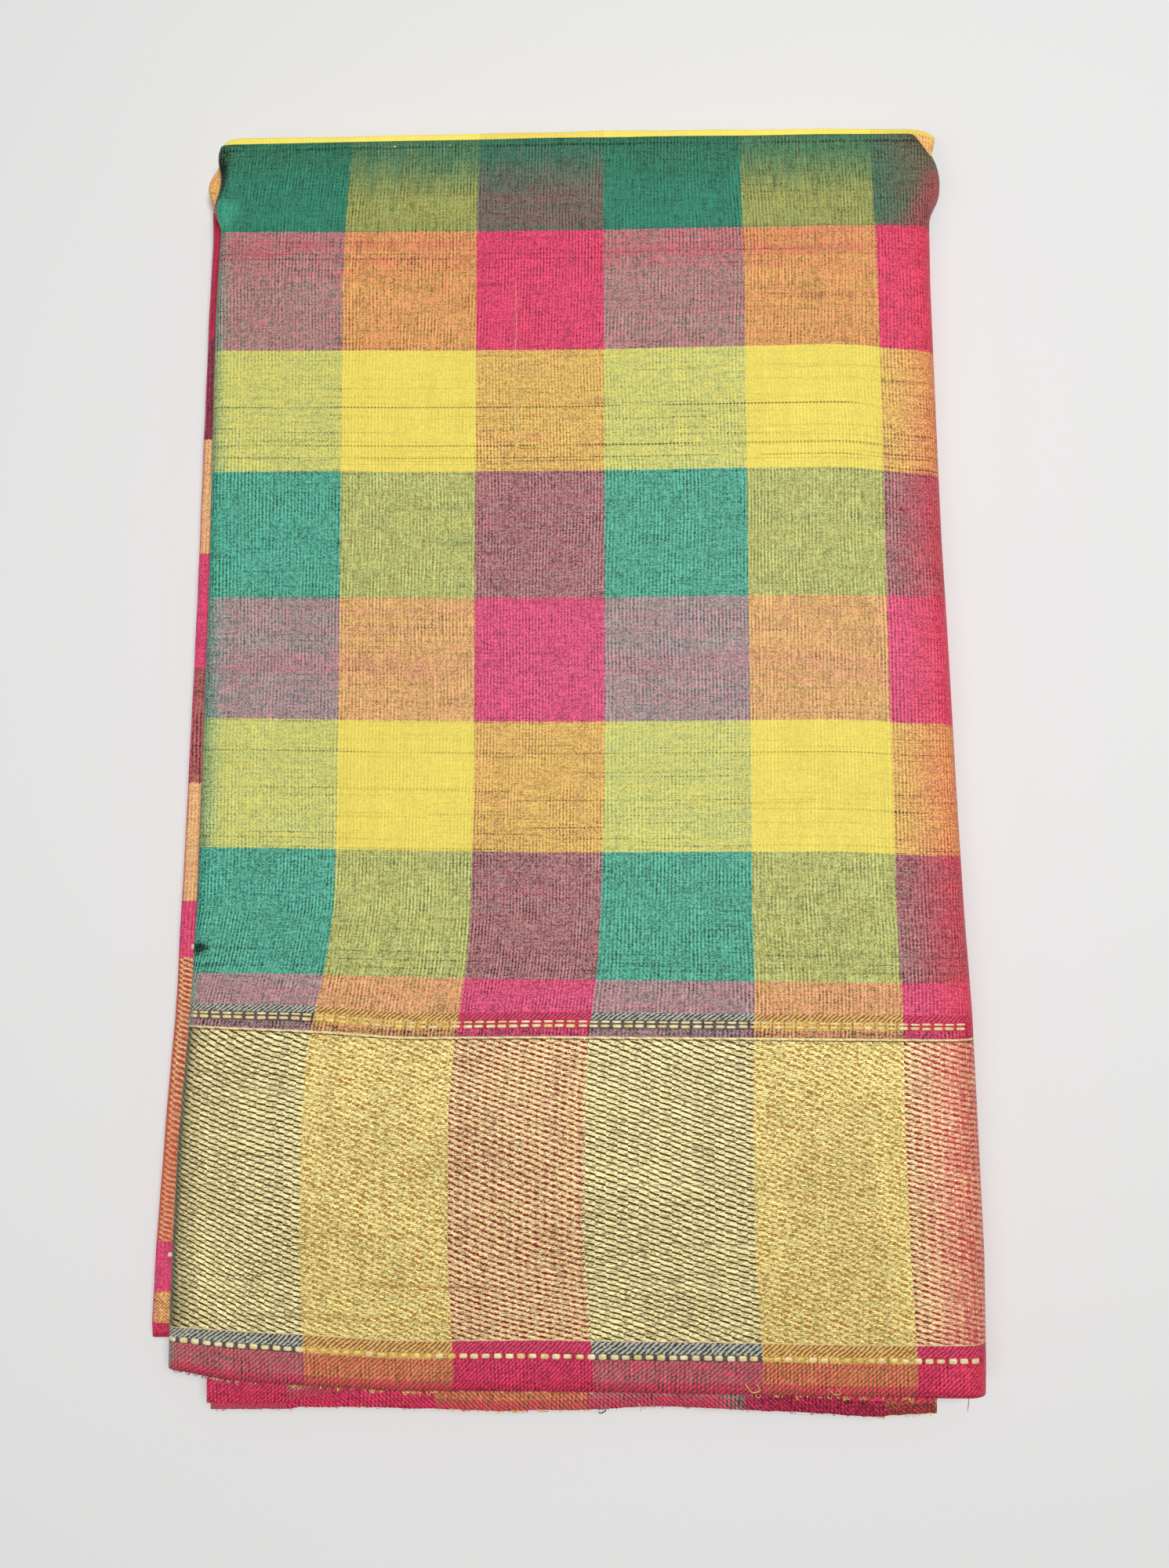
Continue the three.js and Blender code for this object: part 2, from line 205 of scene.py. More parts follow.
# Hollows and bulges of the face that show darker or paler: middle along and across the cloth,
# how far they reach both ways, and how much light they add
SHADES = (
    (-1.0, 17.0, 5.0, 13.0, -1.3),
    (3.0, 37.0, 11.0, 9.0, 0.38),
    (335.0, 28.0, 5.0, 12.0, 0.25),
    (331.0, 5.0, 12.0, 7.0, -0.25),
    (5.0, 388.3, 6.0, 3.4, -1.1),
    (10.0, 395.6, 22.0, 1.1, -0.35),
)
# Bands across the cloth, from and to: hatched, under the dashes, and streaked with their gain
HATCH_BANDS = ((415.0, 418.7), (561.3, 566.8))
DASH_BANDS = ((418.3, 422.2), (566.6, 569.5))
DYE_END = 44.7
STREAKED_BANDS = ((DYE_END, 64.0, 0.15), (250.0, 262.0, 0.09))
# Dark threads: distance from the crease, half width and strength
DARK_THREADS = (
    (3.8, 0.6, 0.8), (57.0, 0.3, 0.4), (59.5, 0.3, 0.3), (131.5, 0.36, 0.7), (150.0, 0.36, 0.6),
    (155.8, 0.36, 0.55), (163.4, 0.3, 0.35), (295.8, 0.34, 0.5), (388.0, 0.3, 0.4),
    (391.8, 0.3, 0.45), (395.4, 0.3, 0.4),
)
# Lines beside the zari: distance, half width and colour
ZARI_LINES = (
    (425.4, 0.36, (0.86, 0.72, 0.36)), (426.2, 0.3, (0.10, 0.05, 0.02)),
    (560.8, 0.22, (0.80, 0.64, 0.30)),
)
STRIP_DASHES = (420.2, 567.9)
# Unevenness: how far it is drawn out along and across the cloth, its fineness and its detail
NOISES = (
    (0.03, 1.0, 1.9, 2.0),  # single warp threads
    (1.0, 0.07, 1.5, 2.0),  # single weft threads
    (0.05, 1.0, 0.22, 3.0),  # groups of warp threads
    (1.0, 0.06, 0.16, 3.0),  # groups of weft threads
    (1.0, 1.0, 0.028, 4.0),  # blotches of light and shade
    (1.0, 1.0, 0.07, 2.0),  # patches of ribs
    (1.0, 1.0, 1.3, 2.0),  # specks
    (1.0, 1.0, 0.014, 0.0),  # sway of the weave
    (0.006, 1.0, 0.95, 3.0),  # dark threads
    (0.25, 6.0, 0.11, 2.0),  # how far each of them goes
    (1.0, 2.6, 0.85, 2.0),  # glints of the gold
)
WIDTH_SPAN = 620.0
REPEAT = 3 * WEFT_BAND
LATTICE_ALONG = 1.55
LATTICE_ACROSS = 1.0
FLOAT_LENGTH = 3.9
FLOAT_ROW = 2.66


def seeded_wave(a, b, seed, scale):
    """A smooth, repeatable unevenness between about -1 and 1 over two lengths."""
    rng = np.random.default_rng(seed)
    total = np.zeros(np.broadcast(a, b).shape)
    for _ in range(5):
        angle = rng.uniform(0, 2 * math.pi)
        phase = rng.uniform(0, 2 * math.pi)
        wave = 2 * math.pi * rng.uniform(0.6, 1.5) / scale
        total = total + np.sin((a * math.cos(angle) + b * math.sin(angle)) * wave + phase)
    return total / 2.6


def smooth_outline(outline, y):
    """x of one line of the outline at any y, its corners rounded over a few millimetres."""
    offsets = np.linspace(-2.4, 2.4, 5)
    return sum(np.interp(y + offset, outline[::-1, 0], outline[::-1, 1]) for offset in offsets) / 5


def face_y(across, x):
    """y of points of the face from one distance across the cloth and their x."""
    changes = [np.interp(across, WARP_CHANGES[:, 0], column) for column in WARP_CHANGES.T[1:]]
    spread = (-9.0, -3.0, 3.0, 9.0)
    return sum(np.interp(x + step, WARP_PLACES, changes) for step in spread) / len(spread)


def face_along(x, y):
    """Length along the cloth at a point of the face, counted from its first weft change."""
    changes = [np.interp(y, WEFT_CHANGES[::-1, 0], WEFT_CHANGES[::-1, i + 1]) for i in range(5)]
    band = 1 - (changes[0] - x) / (changes[1] - changes[0])
    for i in range(4):
        inside = i + 1 + (x - changes[i]) / (changes[i + 1] - changes[i])
        band = np.where(x > changes[i], inside, band)
    last = 5 + (x - changes[4]) / (changes[4] - changes[3])
    return np.where(x > changes[4], last, band) * WEFT_BAND


def travelled(x, z):
    """Length of a line of points from its start up to each of them."""
    return np.concatenate([[0], np.cumsum(np.hypot(np.diff(x), np.diff(z)))])


def arc(centre_x, centre_z, radius, start, end, count):
    """Points of an arc as x and z, both ends included, angles in degrees."""
    angle = np.radians(np.linspace(start, end, count))
    return centre_x + radius * np.cos(angle), centre_z + radius * np.sin(angle)


def folded_edge(before, radius, count, after):
    """A cloth's turn round its own edge, as how far out and which side, with the rows within."""
    turn = np.radians(np.linspace(90, -90, count))
    nose = [(radius * math.cos(angle), math.sin(angle)) for angle in turn]
    return [(-depth, 1.0) for depth in before] + nose + [(-depth, -1.0) for depth in after]


def new_object(name, data):
    """An object that carries the data, linked to the scene."""
    obj = bpy.data.objects.new(name, data)
    bpy.context.collection.objects.link(obj)
    return obj


def sheet_mesh(name, rows, thickness=PLY):
    """A thin closed shell over rows of points, with their cloth lengths as the UV map.

    A row is x, y and z of the outer surface and the lengths along and across the cloth, in
    millimetres, each as one number or one for every column. The inner surface is set back by
    the thickness, and both carry the same cloth lengths.
    """
    grid = np.array([np.stack(np.broadcast_arrays(*row), axis=1) for row in rows])
    points = grid[:, :, :3]
    cloth = grid[:, :, 3:].reshape(-1, 2)
    normal = np.cross(np.gradient(points, axis=1), np.gradient(points, axis=0))
    normal /= np.maximum(np.linalg.norm(normal, axis=2, keepdims=True), 1e-9)
    inner = points - normal * thickness
    verts = np.concatenate([points.reshape(-1, 3), inner.reshape(-1, 3)]) * MM
    count = len(cloth)
    index = np.arange(count).reshape(points.shape[:2])
    a, b = index[:-1, :-1], index[:-1, 1:]
    c, d = index[1:, 1:], index[1:, :-1]
    outer_faces = np.stack([a, b, c, d], axis=-1).reshape(-1, 4)
    inner_faces = np.stack([d, c, b, a], axis=-1).reshape(-1, 4) + count
    rim = np.concatenate([index[0, :], index[1:, -1], index[-1, -2::-1], index[-2:0:-1, 0]])
    following = np.roll(rim, -1)
    rim_faces = np.stack([following, rim, rim + count, following + count], axis=-1)
    faces = np.concatenate([outer_faces, inner_faces, rim_faces])
    mesh = bpy.data.meshes.new(name)
    mesh.from_pydata(verts.tolist(), [], faces.tolist())
    uv = np.concatenate([cloth, cloth])
    layer = mesh.uv_layers.new(name="cloth")
    layer.data.foreach_set("uv", uv[faces.reshape(-1)].reshape(-1))
    mesh.polygons.foreach_set("use_smooth", [True] * len(mesh.polygons))
    mesh.update()
    return new_object(name, mesh)


# Columns of the outermost layer: under the left fold, round it, over the top, round the
# right-hand fold and underneath
TURN_COLUMNS = 4
LEFT_COLUMNS = 16
TOP_COLUMNS = 150
RIGHT_COLUMNS = 24
UNDER_COLUMNS = 18
FIRST_TOP = TURN_COLUMNS + LEFT_COLUMNS
LAST_TOP = FIRST_TOP + TOP_COLUMNS
FIRST_UNDER = LAST_TOP + RIGHT_COLUMNS
FACE_ROWS = 204
# How far it turns in under the left fold, and how far it ends from the stack's left side below
TURN_REACH = 11
UNDER_INSET = 5
# How far below the top its unevenness reaches, and how far and over what length its crease dips
LIFT_DEPTH = 3.0
CREASE_DROP = 0.55
CREASE_REACH = 1.2
# The hem on the face: y where it begins to dip, over what length and how far
HEM_START = -272.0
HEM_REACH = 18.0
HEM_DROP = 0.9
# Underneath, the left corner is set back from the hem: from which distance, at which x, how far
SET_BACK_START = 480.0
SET_BACK_X = (-186.0, -140.0)
SET_BACK = (23.0, 0.0)

# Soft troughs of the face: middle x and y, half length, half width, direction in degrees and
# depth, negative for a ridge
TROUGHS = (
    (-166, 281, 9, 4, 88, 1.6),
    (-162, 259, 7, 4.5, 75, -0.7),
    (-171, -90.5, 9, 1.5, -4, 2.2),
    (-164, -94, 26, 0.9, -5, 0.6),
    (-160, -97, 30, 0.9, -4, 0.55),
    (-163, -87, 20, 1.2, 3, 0.5),
    (-162, -100.5, 26, 1, -5, 0.5),
    (168, 262, 16, 2.6, 52, 1),
    (174, 270, 12, 4, 78, -0.5),
    (168, 250, 12, 3.5, 12, -0.5),
    (-30, 291, 60, 3, 1, -0.3),
    (40, 130, 5, 170, 3, 0.22),
    (-110, -150, 6, 110, -4, 0.25),
    (88, -190, 6, 90, 3, 0.25),
    (10, -180, 9, 90, -2, -0.25),
)


def fold_middles(y):
    """x of the middles of the outermost layer's left and right folds."""
    return smooth_outline(UPPER_LEFT, y) + UPPER_RADIUS, smooth_outline(RIGHT_END, y) - RIGHT_RADIUS


def outer_section(y):
    """The outermost layer's cross-section at one y: x and z of each column."""
    left, right = fold_middles(y)
    under = smooth_outline(LOWER_LEFT, y) + UNDER_INSET
    upper_z = STACK_TOP - UPPER_RADIUS
    turn_x = np.linspace(left + TURN_REACH, left, TURN_COLUMNS, endpoint=False)
    turn_z = np.full(TURN_COLUMNS, upper_z - UPPER_RADIUS)
    left_x, left_z = arc(left, upper_z, UPPER_RADIUS, 270, 90, LEFT_COLUMNS)
    top_x = np.linspace(left, right, TOP_COLUMNS + 2)[1:-1]
    top_z = np.full(TOP_COLUMNS, STACK_TOP)
    right_x, right_z = arc(right, RIGHT_RADIUS, RIGHT_RADIUS, 90, -90, RIGHT_COLUMNS)
    under_x = np.linspace(right, under, UNDER_COLUMNS + 1)[1:]
    x = np.concatenate([turn_x, left_x, top_x, right_x, under_x])
    z = np.concatenate([turn_z, left_z, top_z, right_z, np.zeros(UNDER_COLUMNS)])
    return x, z


def face_lift(x, y):
    """Soft unevenness of the face, in millimetres of height."""
    lift = 0.26 * seeded_wave(x, y * 0.6, 11, 120.0) + 0.12 * seeded_wave(x, y, 12, 45.0)
    total = lift - HEM_DROP * np.clip((HEM_START - y) / HEM_REACH, 0, 1) ** 2
    for middle_x, middle_y, length, width, angle, depth in TROUGHS:
        turn = math.radians(angle)
        forward = (x - middle_x) * math.cos(turn) + (y - middle_y) * math.sin(turn)
        sideways = (y - middle_y) * math.cos(turn) - (x - middle_x) * math.sin(turn)
        total = total - depth * np.exp(-((forward / length) ** 2) - (sideways / width) ** 2)
    return total


def face_height(x, y):
    """Height of the face at any x and y, folds at both sides included."""
    left, right = fold_middles(y)
    past_left = np.clip(left - x, 0, UPPER_RADIUS)
    past_right = np.clip(x - right, 0, RIGHT_RADIUS)
    drop = UPPER_RADIUS - np.sqrt(UPPER_RADIUS ** 2 - past_left ** 2)
    drop = drop + RIGHT_RADIUS - np.sqrt(RIGHT_RADIUS ** 2 - past_right ** 2)
    return STACK_TOP - drop + face_lift(x, y) * np.clip(1 - drop / LIFT_DEPTH, 0, 1)


def outer_layer():
    """The outermost layer as one sheet, from its crease to its selvedge."""
    across = np.concatenate([[0.0, 0.4, 1.0, 2.0], np.linspace(4.0, SELVEDGE, FACE_ROWS - 4)])
    rows = []
    for distance in across:
        x, z = outer_section(float(face_y(distance, 0.0)))
        y = face_y(distance, x)
        towards_hem = max(0.0, (distance - SET_BACK_START) / (SELVEDGE - SET_BACK_START)) ** 2
        set_back = towards_hem * np.interp(x[FIRST_UNDER:], SET_BACK_X, SET_BACK)
        y[FIRST_UNDER:] = float(face_y(distance, WARP_PLACES[-1])) + set_back
        along = face_along(x, y)
        steps = np.hypot(np.diff(x), np.diff(z))
        for i in range(FIRST_TOP - 1, -1, -1):
            along[i] = along[i + 1] - steps[i]
        for i in range(LAST_TOP, len(x)):
            along[i] = along[i - 1] + steps[i - 1]
        top_share = np.clip((z - (STACK_TOP - LIFT_DEPTH)) / LIFT_DEPTH, 0, 1)
        dip = CREASE_DROP * max(0.0, 1.0 - distance / CREASE_REACH) ** 2
        z = z + face_lift(x, y) * top_share - dip * top_share
        rows.append((x, y, z, along, distance))
    return sheet_mesh("outer_layer", rows[::-1])


# The strip at the left: how far it goes on inside the stack below and above, and its scale along
STRIP_REACH = (18, 20)
STRIP_ALONG = 2.3 * WEFT_BAND
STRIP_SCALE = 0.9


def lower_fold():
    """The left fold of the lower half of the stack, which shows the other half of the width."""
    across = np.concatenate([np.linspace(STRIP_START, 52.0, 6), np.linspace(54.0, STRIP_END, 190)])
    centre_z = STACK_TOP / 2 - 0.2 - STRIP_RADIUS
    rows = []
    for distance in across:
        y = float(np.interp(distance, STRIP_CHANGES[:, 0], STRIP_CHANGES[:, 1]))
        radius = STRIP_RADIUS * (1 - 0.25 * np.clip((y + 262.0) / -6.0, 0, 1))
        left = smooth_outline(LOWER_LEFT, y) + STRIP_RADIUS
        leg_x = np.linspace(left + STRIP_REACH[0], left, 6, endpoint=False)
        fold_x, fold_z = arc(left, centre_z, radius, 270, 90, 18)
        back_x = np.linspace(left, left + STRIP_REACH[1], 10)[1:]
        x = np.concatenate([leg_x, fold_x, back_x])
        z = np.concatenate([np.full(6, centre_z - radius), fold_z, np.full(9, centre_z + radius)])
        z = z + 0.18 * seeded_wave(y, 0.0, 21, 40.0)
        rows.append((x, y, z, STRIP_ALONG + travelled(x, z) * STRIP_SCALE, -distance))
    return sheet_mesh("lower_fold", rows[::-1])


def fold_order():
    """Stack of panels from the bottom up after four halvings along the length."""
    columns = [[panel] for panel in range(LAYERS)]
    while len(columns) > 1:
        half = len(columns) // 2
        columns = [columns[i] + columns[-1 - i][::-1] for i in range(half)]
    return columns[0]


# Points of one hidden panel and of the fold after it
PANEL_POINTS = 26
FOLD_POINTS = 9
# The panel under the strip lies this much lower
STRIP_ROOM = 0.35
# The lower left folds draw back towards the selvedges: from which y, over what length, how far
DRAWN_BACK = (-238.0, 12.0, 16.0)


def inner_path(y):
    """The folded cloth's cross-section without its outermost turn, as x, z and normal.

    It runs through every hidden panel in the order of the cloth, with nested folds.
    """
    order = fold_order()
    level = {panel: order.index(panel) for panel in order}
    height = {panel: (level[panel] + 0.5) * PITCH for panel in order}
    height[order[LAYERS // 2 - 1]] -= STRIP_ROOM
    start_y, over, far = DRAWN_BACK
    lower = smooth_outline(LOWER_LEFT, y) + far * min(1.0, max(0.0, (start_y - y) / over))
    upper, right = fold_middles(y)
    # Middles of the left folds by the height of their nest, in layers
    left_centres = {11.5: upper, 5.5: lower + STRIP_RADIUS + 0.8, 2.5: lower + 3.0}
    share = (np.arange(PANEL_POINTS) + 0.5) / PANEL_POINTS
    xs = []
    zs = []
    for panel in range(2, LAYERS):
        following = panel + 1
        going_right = panel % 2 == 0
        if going_right:
            start = left_centres[(level[panel] + level[panel - 1]) / 2]
            end = right
        else:
            start = right
            end = lower + 7.0
            if following < LAYERS:
                end = left_centres[(level[panel] + level[following]) / 2]
        xs.append(start + (end - start) * share)
        zs.append(np.full(PANEL_POINTS, height[panel]))
        if following < LAYERS:
            middle_z = (height[panel] + height[following]) / 2
            radius = abs(height[panel] - height[following]) / 2
            side = 90 if height[panel] > height[following] else -90
            stop = side + (-2 * side if going_right else 2 * side)
            arc_x, arc_z = arc(end, middle_z, radius, side, stop, FOLD_POINTS)
            xs.append(arc_x)
            zs.append(arc_z)
    x = np.concatenate(xs)
    z = np.concatenate(zs)
    normal_x = -np.gradient(z)
    normal_z = np.gradient(x)
    size = np.maximum(np.hypot(normal_x, normal_z), 1e-9)
    return x, z, normal_x / size, normal_z / size


# Hidden layers at the selvedge: name, side of the ply, how far they are set back, last distance
FRONT_LAYERS = (("front_layers", 1, 1.2, SELVEDGE), ("front_layers_back", -1, 19.0, STRIP_END))
FRONT_DEPTHS = (0.0, 1.5, 5.0, 11.0, 18.0, 27.0)
FRONT_Y = -289.0
# Hidden layers at the crease: y of their folds, and how far in their rows lie
CREASE_Y = 294.0
CREASE_DEPTHS = (24.0, 12.0, 4.0)
HIDDEN_PLY = PLY * 0.9


def front_layers():
    """The hidden layers' selvedges: both halves of the width, one set back from the other."""
    sheets = []
    for name, side, set_back, last in FRONT_LAYERS:
        rows = []
        for depth in FRONT_DEPTHS:
            x, z, normal_x, normal_z = inner_path(set_back + depth + FRONT_Y)
            order = np.arange(len(x))
            fade = 1 - depth / FRONT_DEPTHS[-1]
            wander = 1.4 + 1.4 * seeded_wave(order, x * 0.05, 31 + side, 60.0)
            wrinkle = 0.14 * fade * seeded_wave(order, x * 0.2, 41 + side, 25.0)
            y = face_y(SELVEDGE, x) + set_back + depth + wander * fade
            height = np.clip(z + normal_z * PLY_OFFSET * side + wrinkle, 0.5, STACK_TOP - 0.9)
            ply_x = x + normal_x * PLY_OFFSET * side
            rows.append((ply_x, y, height, travelled(x, z), side * (last - depth)))
        sheets.append(sheet_mesh(name, rows, HIDDEN_PLY))
    return sheets


def back_layers():
    """The hidden layers' creases: each double layer turns back on itself at +Y."""
    reaches, sides = np.array(folded_edge(CREASE_DEPTHS, PLY_OFFSET, 5, CREASE_DEPTHS[::-1])).T
    rows = []
    for reach, side, length in zip(reaches, sides, travelled(reaches, sides * PLY_OFFSET)):
        x, z, normal_x, normal_z = inner_path(CREASE_Y + min(reach, 0.0))
        wander = 1.6 * seeded_wave(np.arange(len(x)), x * 0.03, 51, 70.0) - 0.8
        fade = 1 - min(1.0, max(0.0, -reach / CREASE_DEPTHS[0]))
        ply_x = x + normal_x * PLY_OFFSET * side
        ply_z = z + normal_z * PLY_OFFSET * side
        y = CREASE_Y + reach + wander * fade
        rows.append((ply_x, y, ply_z, travelled(x, z), CREASE_DEPTHS[0] - length))
    return sheet_mesh("back_layers", rows[::-1], HIDDEN_PLY)


# The crease's edge beyond the face: x and y
CREASE_EDGE = np.array([
    (-163.5, 292.6), (-161.5, 294.2), (-157, 295.3), (-98, 296.2), (-46, 297.4),
    (9, 298.8), (70, 299.6), (141, 300), (164, 300), (170, 299.5), (174, 298.2),
    (176.4, 296.2),
])
CREASE_COLUMNS = 190
CREASE_RADIUS = 1.0
CREASE_DISTANCE = 30.0
# From this x on, the right-hand end sags and opens to the next band
CREASE_OPENS = 152.0


def back_crease():
    """The rolled crease of the layers just under the top one, seen beyond its edge."""
    profile = folded_edge((16.0, 12.0, 8.0, 4.0, 1.5), CREASE_RADIUS, 9, (4.0, 10.0, 16.0))
    share = np.linspace(0, 1, CREASE_COLUMNS)
    rows = []
    for place, (reach, side) in enumerate(profile):
        back = max(0.0, -reach)
        from_x = CREASE_EDGE[0, 0] + 0.1 * back
        to_x = CREASE_EDGE[-1, 0] - 0.022 * back ** 2
        x = from_x + (to_x - from_x) * share
        nose = np.interp(x, CREASE_EDGE[:, 0], CREASE_EDGE[:, 1])
        nose = nose + 0.12 * seeded_wave(x, 0.0, 61, 40.0)
        sag = -0.9 * np.clip((x - CREASE_OPENS - 4.0) / 20.0, 0, 1) ** 2
        z = STACK_TOP - 2.1 + CREASE_RADIUS * side + sag - 0.05 * back
        opened = (16.0 if back > 1.0 else 0.0) * np.clip((x - CREASE_OPENS) / 12.0, 0, 1)
        inward = CREASE_DISTANCE - place * 1.6 + 0.6 * back
        y = nose - CREASE_RADIUS + reach
        rows.append((x, y, z, face_along(x, np.full_like(x, 285.0)), -inward - opened))
    return sheet_mesh("crease_roll", rows[::-1])


# Edges of the lower layers' selvedges in front of the face's own, as x and y, where their weft
# changes, as x and length along the cloth, and their height
UPPER_EDGE = np.array([
    (-162, -294.4), (-128, -294.4), (-112, -291.5), (-95, -287.5), (-70, -285.5),
    (80, -288), (118, -291), (135, -293.4), (166, -294.6),
])
UPPER_WEFT = np.array([
    (-190, 122), (-126, 183), (-60, 244), (-10, 305), (40, 366),
    (90, 427), (190, 488),
])
UPPER_TOP_Z = 18.5
LOWER_EDGE = np.array([
    (-160.5, -297.6), (-124, -297.4), (-120, -296.5), (-80, -297), (-58, -297.4),
    (-25, -298.6), (10, -297.6), (45, -296.4), (81, -297.8), (115, -299.6),
    (143, -301), (147, -300.2), (168, -299.4),
])
LOWER_WEFT = np.array([
    (-160.5, 244), (-126, 183), (-58.9, 122), (10.2, 61), (81, 0),
    (144.8, -61), (210, -122),
])
LOWER_TOP_Z = 17.3
SHEET_COLUMNS = 220
SHEET_DEPTHS = (0.0, 0.5, 1.2, 2.4, 4.5, 8.0, 14.0, 24.0)


def front_sheet(name, edge, weft, top_z, seed):
    """One selvedge sheet with an uneven front edge, a little wavy."""
    x = np.linspace(edge[0, 0], edge[-1, 0], SHEET_COLUMNS)
    front = np.interp(x, edge[:, 0], edge[:, 1]) + 0.12 * seeded_wave(x, 0.0, seed + 1, 7.0)
    wave = seeded_wave(x, 0.0, seed + 2, 48.0)
    along = np.interp(x, weft[:, 0], weft[:, 1])
    rows = []
    for depth in SHEET_DEPTHS:
        fade = 1 - depth / SHEET_DEPTHS[-1]
        z = top_z - 0.9 * fade ** 2 + 0.3 * fade * wave
        rows.append((x, front + depth, z, along, SELVEDGE - depth))
    return sheet_mesh(name, rows)


class Value:
    """An output of a shader graph that is reckoned with like a number."""

    def __init__(self, graph, socket):
        self.graph = graph
        self.socket = socket

    def __add__(self, other):
        return self.graph.math("ADD", self, other)

    def __radd__(self, other):
        return self.graph.math("ADD", other, self)

    def __sub__(self, other):
        return self.graph.math("SUBTRACT", self, other)

    def __rsub__(self, other):
        return self.graph.math("SUBTRACT", other, self)

    def __mul__(self, other):
        return self.graph.math("MULTIPLY", self, other)

    def __truediv__(self, other):
        return self.graph.math("DIVIDE", self, other)


class Graph:
    """Short names for making and joining the shader nodes of a new material."""

    def __init__(self, name):
        self.material = bpy.data.materials.new(name)
        self.material.use_nodes = True
        self.tree = self.material.node_tree
        self.shader = self.tree.nodes["Principled BSDF"]

    def feed(self, node, inputs):
        """Joins or sets the inputs of a node, from a dictionary."""
        for key, value in inputs.items():
            socket = node.inputs[key]
            if isinstance(value, Value):
                self.tree.links.new(value.socket, socket)
            elif isinstance(value, tuple):
                socket.default_value = value + (1.0,)
            else:
                socket.default_value = value

    def value(self, kind, output, inputs, **settings):
        """One output of a new node."""
        made = self.tree.nodes.new("ShaderNode" + kind)
        for name, setting in settings.items():
            setattr(made, name, setting)
        self.feed(made, inputs)
        return Value(self, made.outputs[output])

    def math(self, operation, a, b=0.0):
        return self.value("Math", 0, {0: a, 1: b}, operation=operation)

    def between(self, value, low, high, to_low=0.0, to_high=1.0):
        inputs = {0: value, 1: low, 2: high, 3: to_low, 4: to_high}
        return self.value("MapRange", 0, inputs, interpolation_type="SMOOTHSTEP")

    def mix(self, share, a, b, blend="MIX"):
        return self.value("Mix", 2, {0: share, 6: a, 7: b}, data_type="RGBA", blend_type=blend)

    def mix_numbers(self, share, a, b):
        return self.value("Mix", 0, {0: share, 2: a, 3: b}, data_type="FLOAT")

    def brighten(self, colour, light):
        return self.mix(1.0, colour, self.vector(light, light, light), "MULTIPLY")

    def vector(self, x, y, z=0.0):
        return self.value("CombineXYZ", 0, {0: x, 1: y, 2: z})

    def split(self, vector):
        first = self.value("SeparateXYZ", 0, {0: vector})
        return [Value(self, socket) for socket in first.socket.node.outputs]

    def length(self, vector):
        return self.value("VectorMath", "Value", {0: vector}, operation="LENGTH")

    def distance(self, a, b):
        return self.value("VectorMath", "Value", {0: a, 1: b}, operation="DISTANCE")

    def noise(self, vector, scale, detail):
        inputs = {"Vector": vector, "Scale": scale, "Detail": detail}
        return self.value("TexNoise", 0, inputs, noise_dimensions="2D")

    def cells(self, along, across, wide, tall):
        """A random value from 0 to 1 for each small rectangle of the cloth."""
        cell = self.vector(self.math("FLOOR", along / wide), self.math("FLOOR", across / tall))
        return self.value("TexWhiteNoise", "Value", {"Vector": cell}, noise_dimensions="2D")

    def wave(self, value, period):
        """A cosine of the given period."""
        return self.math("COSINE", value * (2 * math.pi / period))

    def line(self, value, centre, half):
        """One where value lies within half of centre, soft at the edges."""
        away = self.math("ABSOLUTE", value - centre)
        return self.between(away, half * 0.7, half * 1.3, 1.0, 0.0)

    def band(self, value, low, high, soft):
        """One between low and high, soft over the given length."""
        rising = self.between(value, low - soft, low + soft)
        return rising * self.between(value, high - soft, high + soft, 1.0, 0.0)

    def steps(self, value, stops):
        """A colour for each stretch, from (start, colour) pairs with starts from 0 to 1."""
        picked = self.value("ValToRGB", 0, {0: value})
        ramp = picked.socket.node.color_ramp
        ramp.interpolation = "CONSTANT"
        ramp.elements.remove(ramp.elements[1])
        ramp.elements[0].position = 0.0
        ramp.elements[0].color = stops[0][1] + (1.0,)
        for start, colour in stops[1:]:
            ramp.elements.new(start).color = colour + (1.0,)
        return picked

    def bump(self, height, strength, distance):
        return self.value("Bump", 0, {"Strength": strength, "Distance": distance * MM, "Height": height})


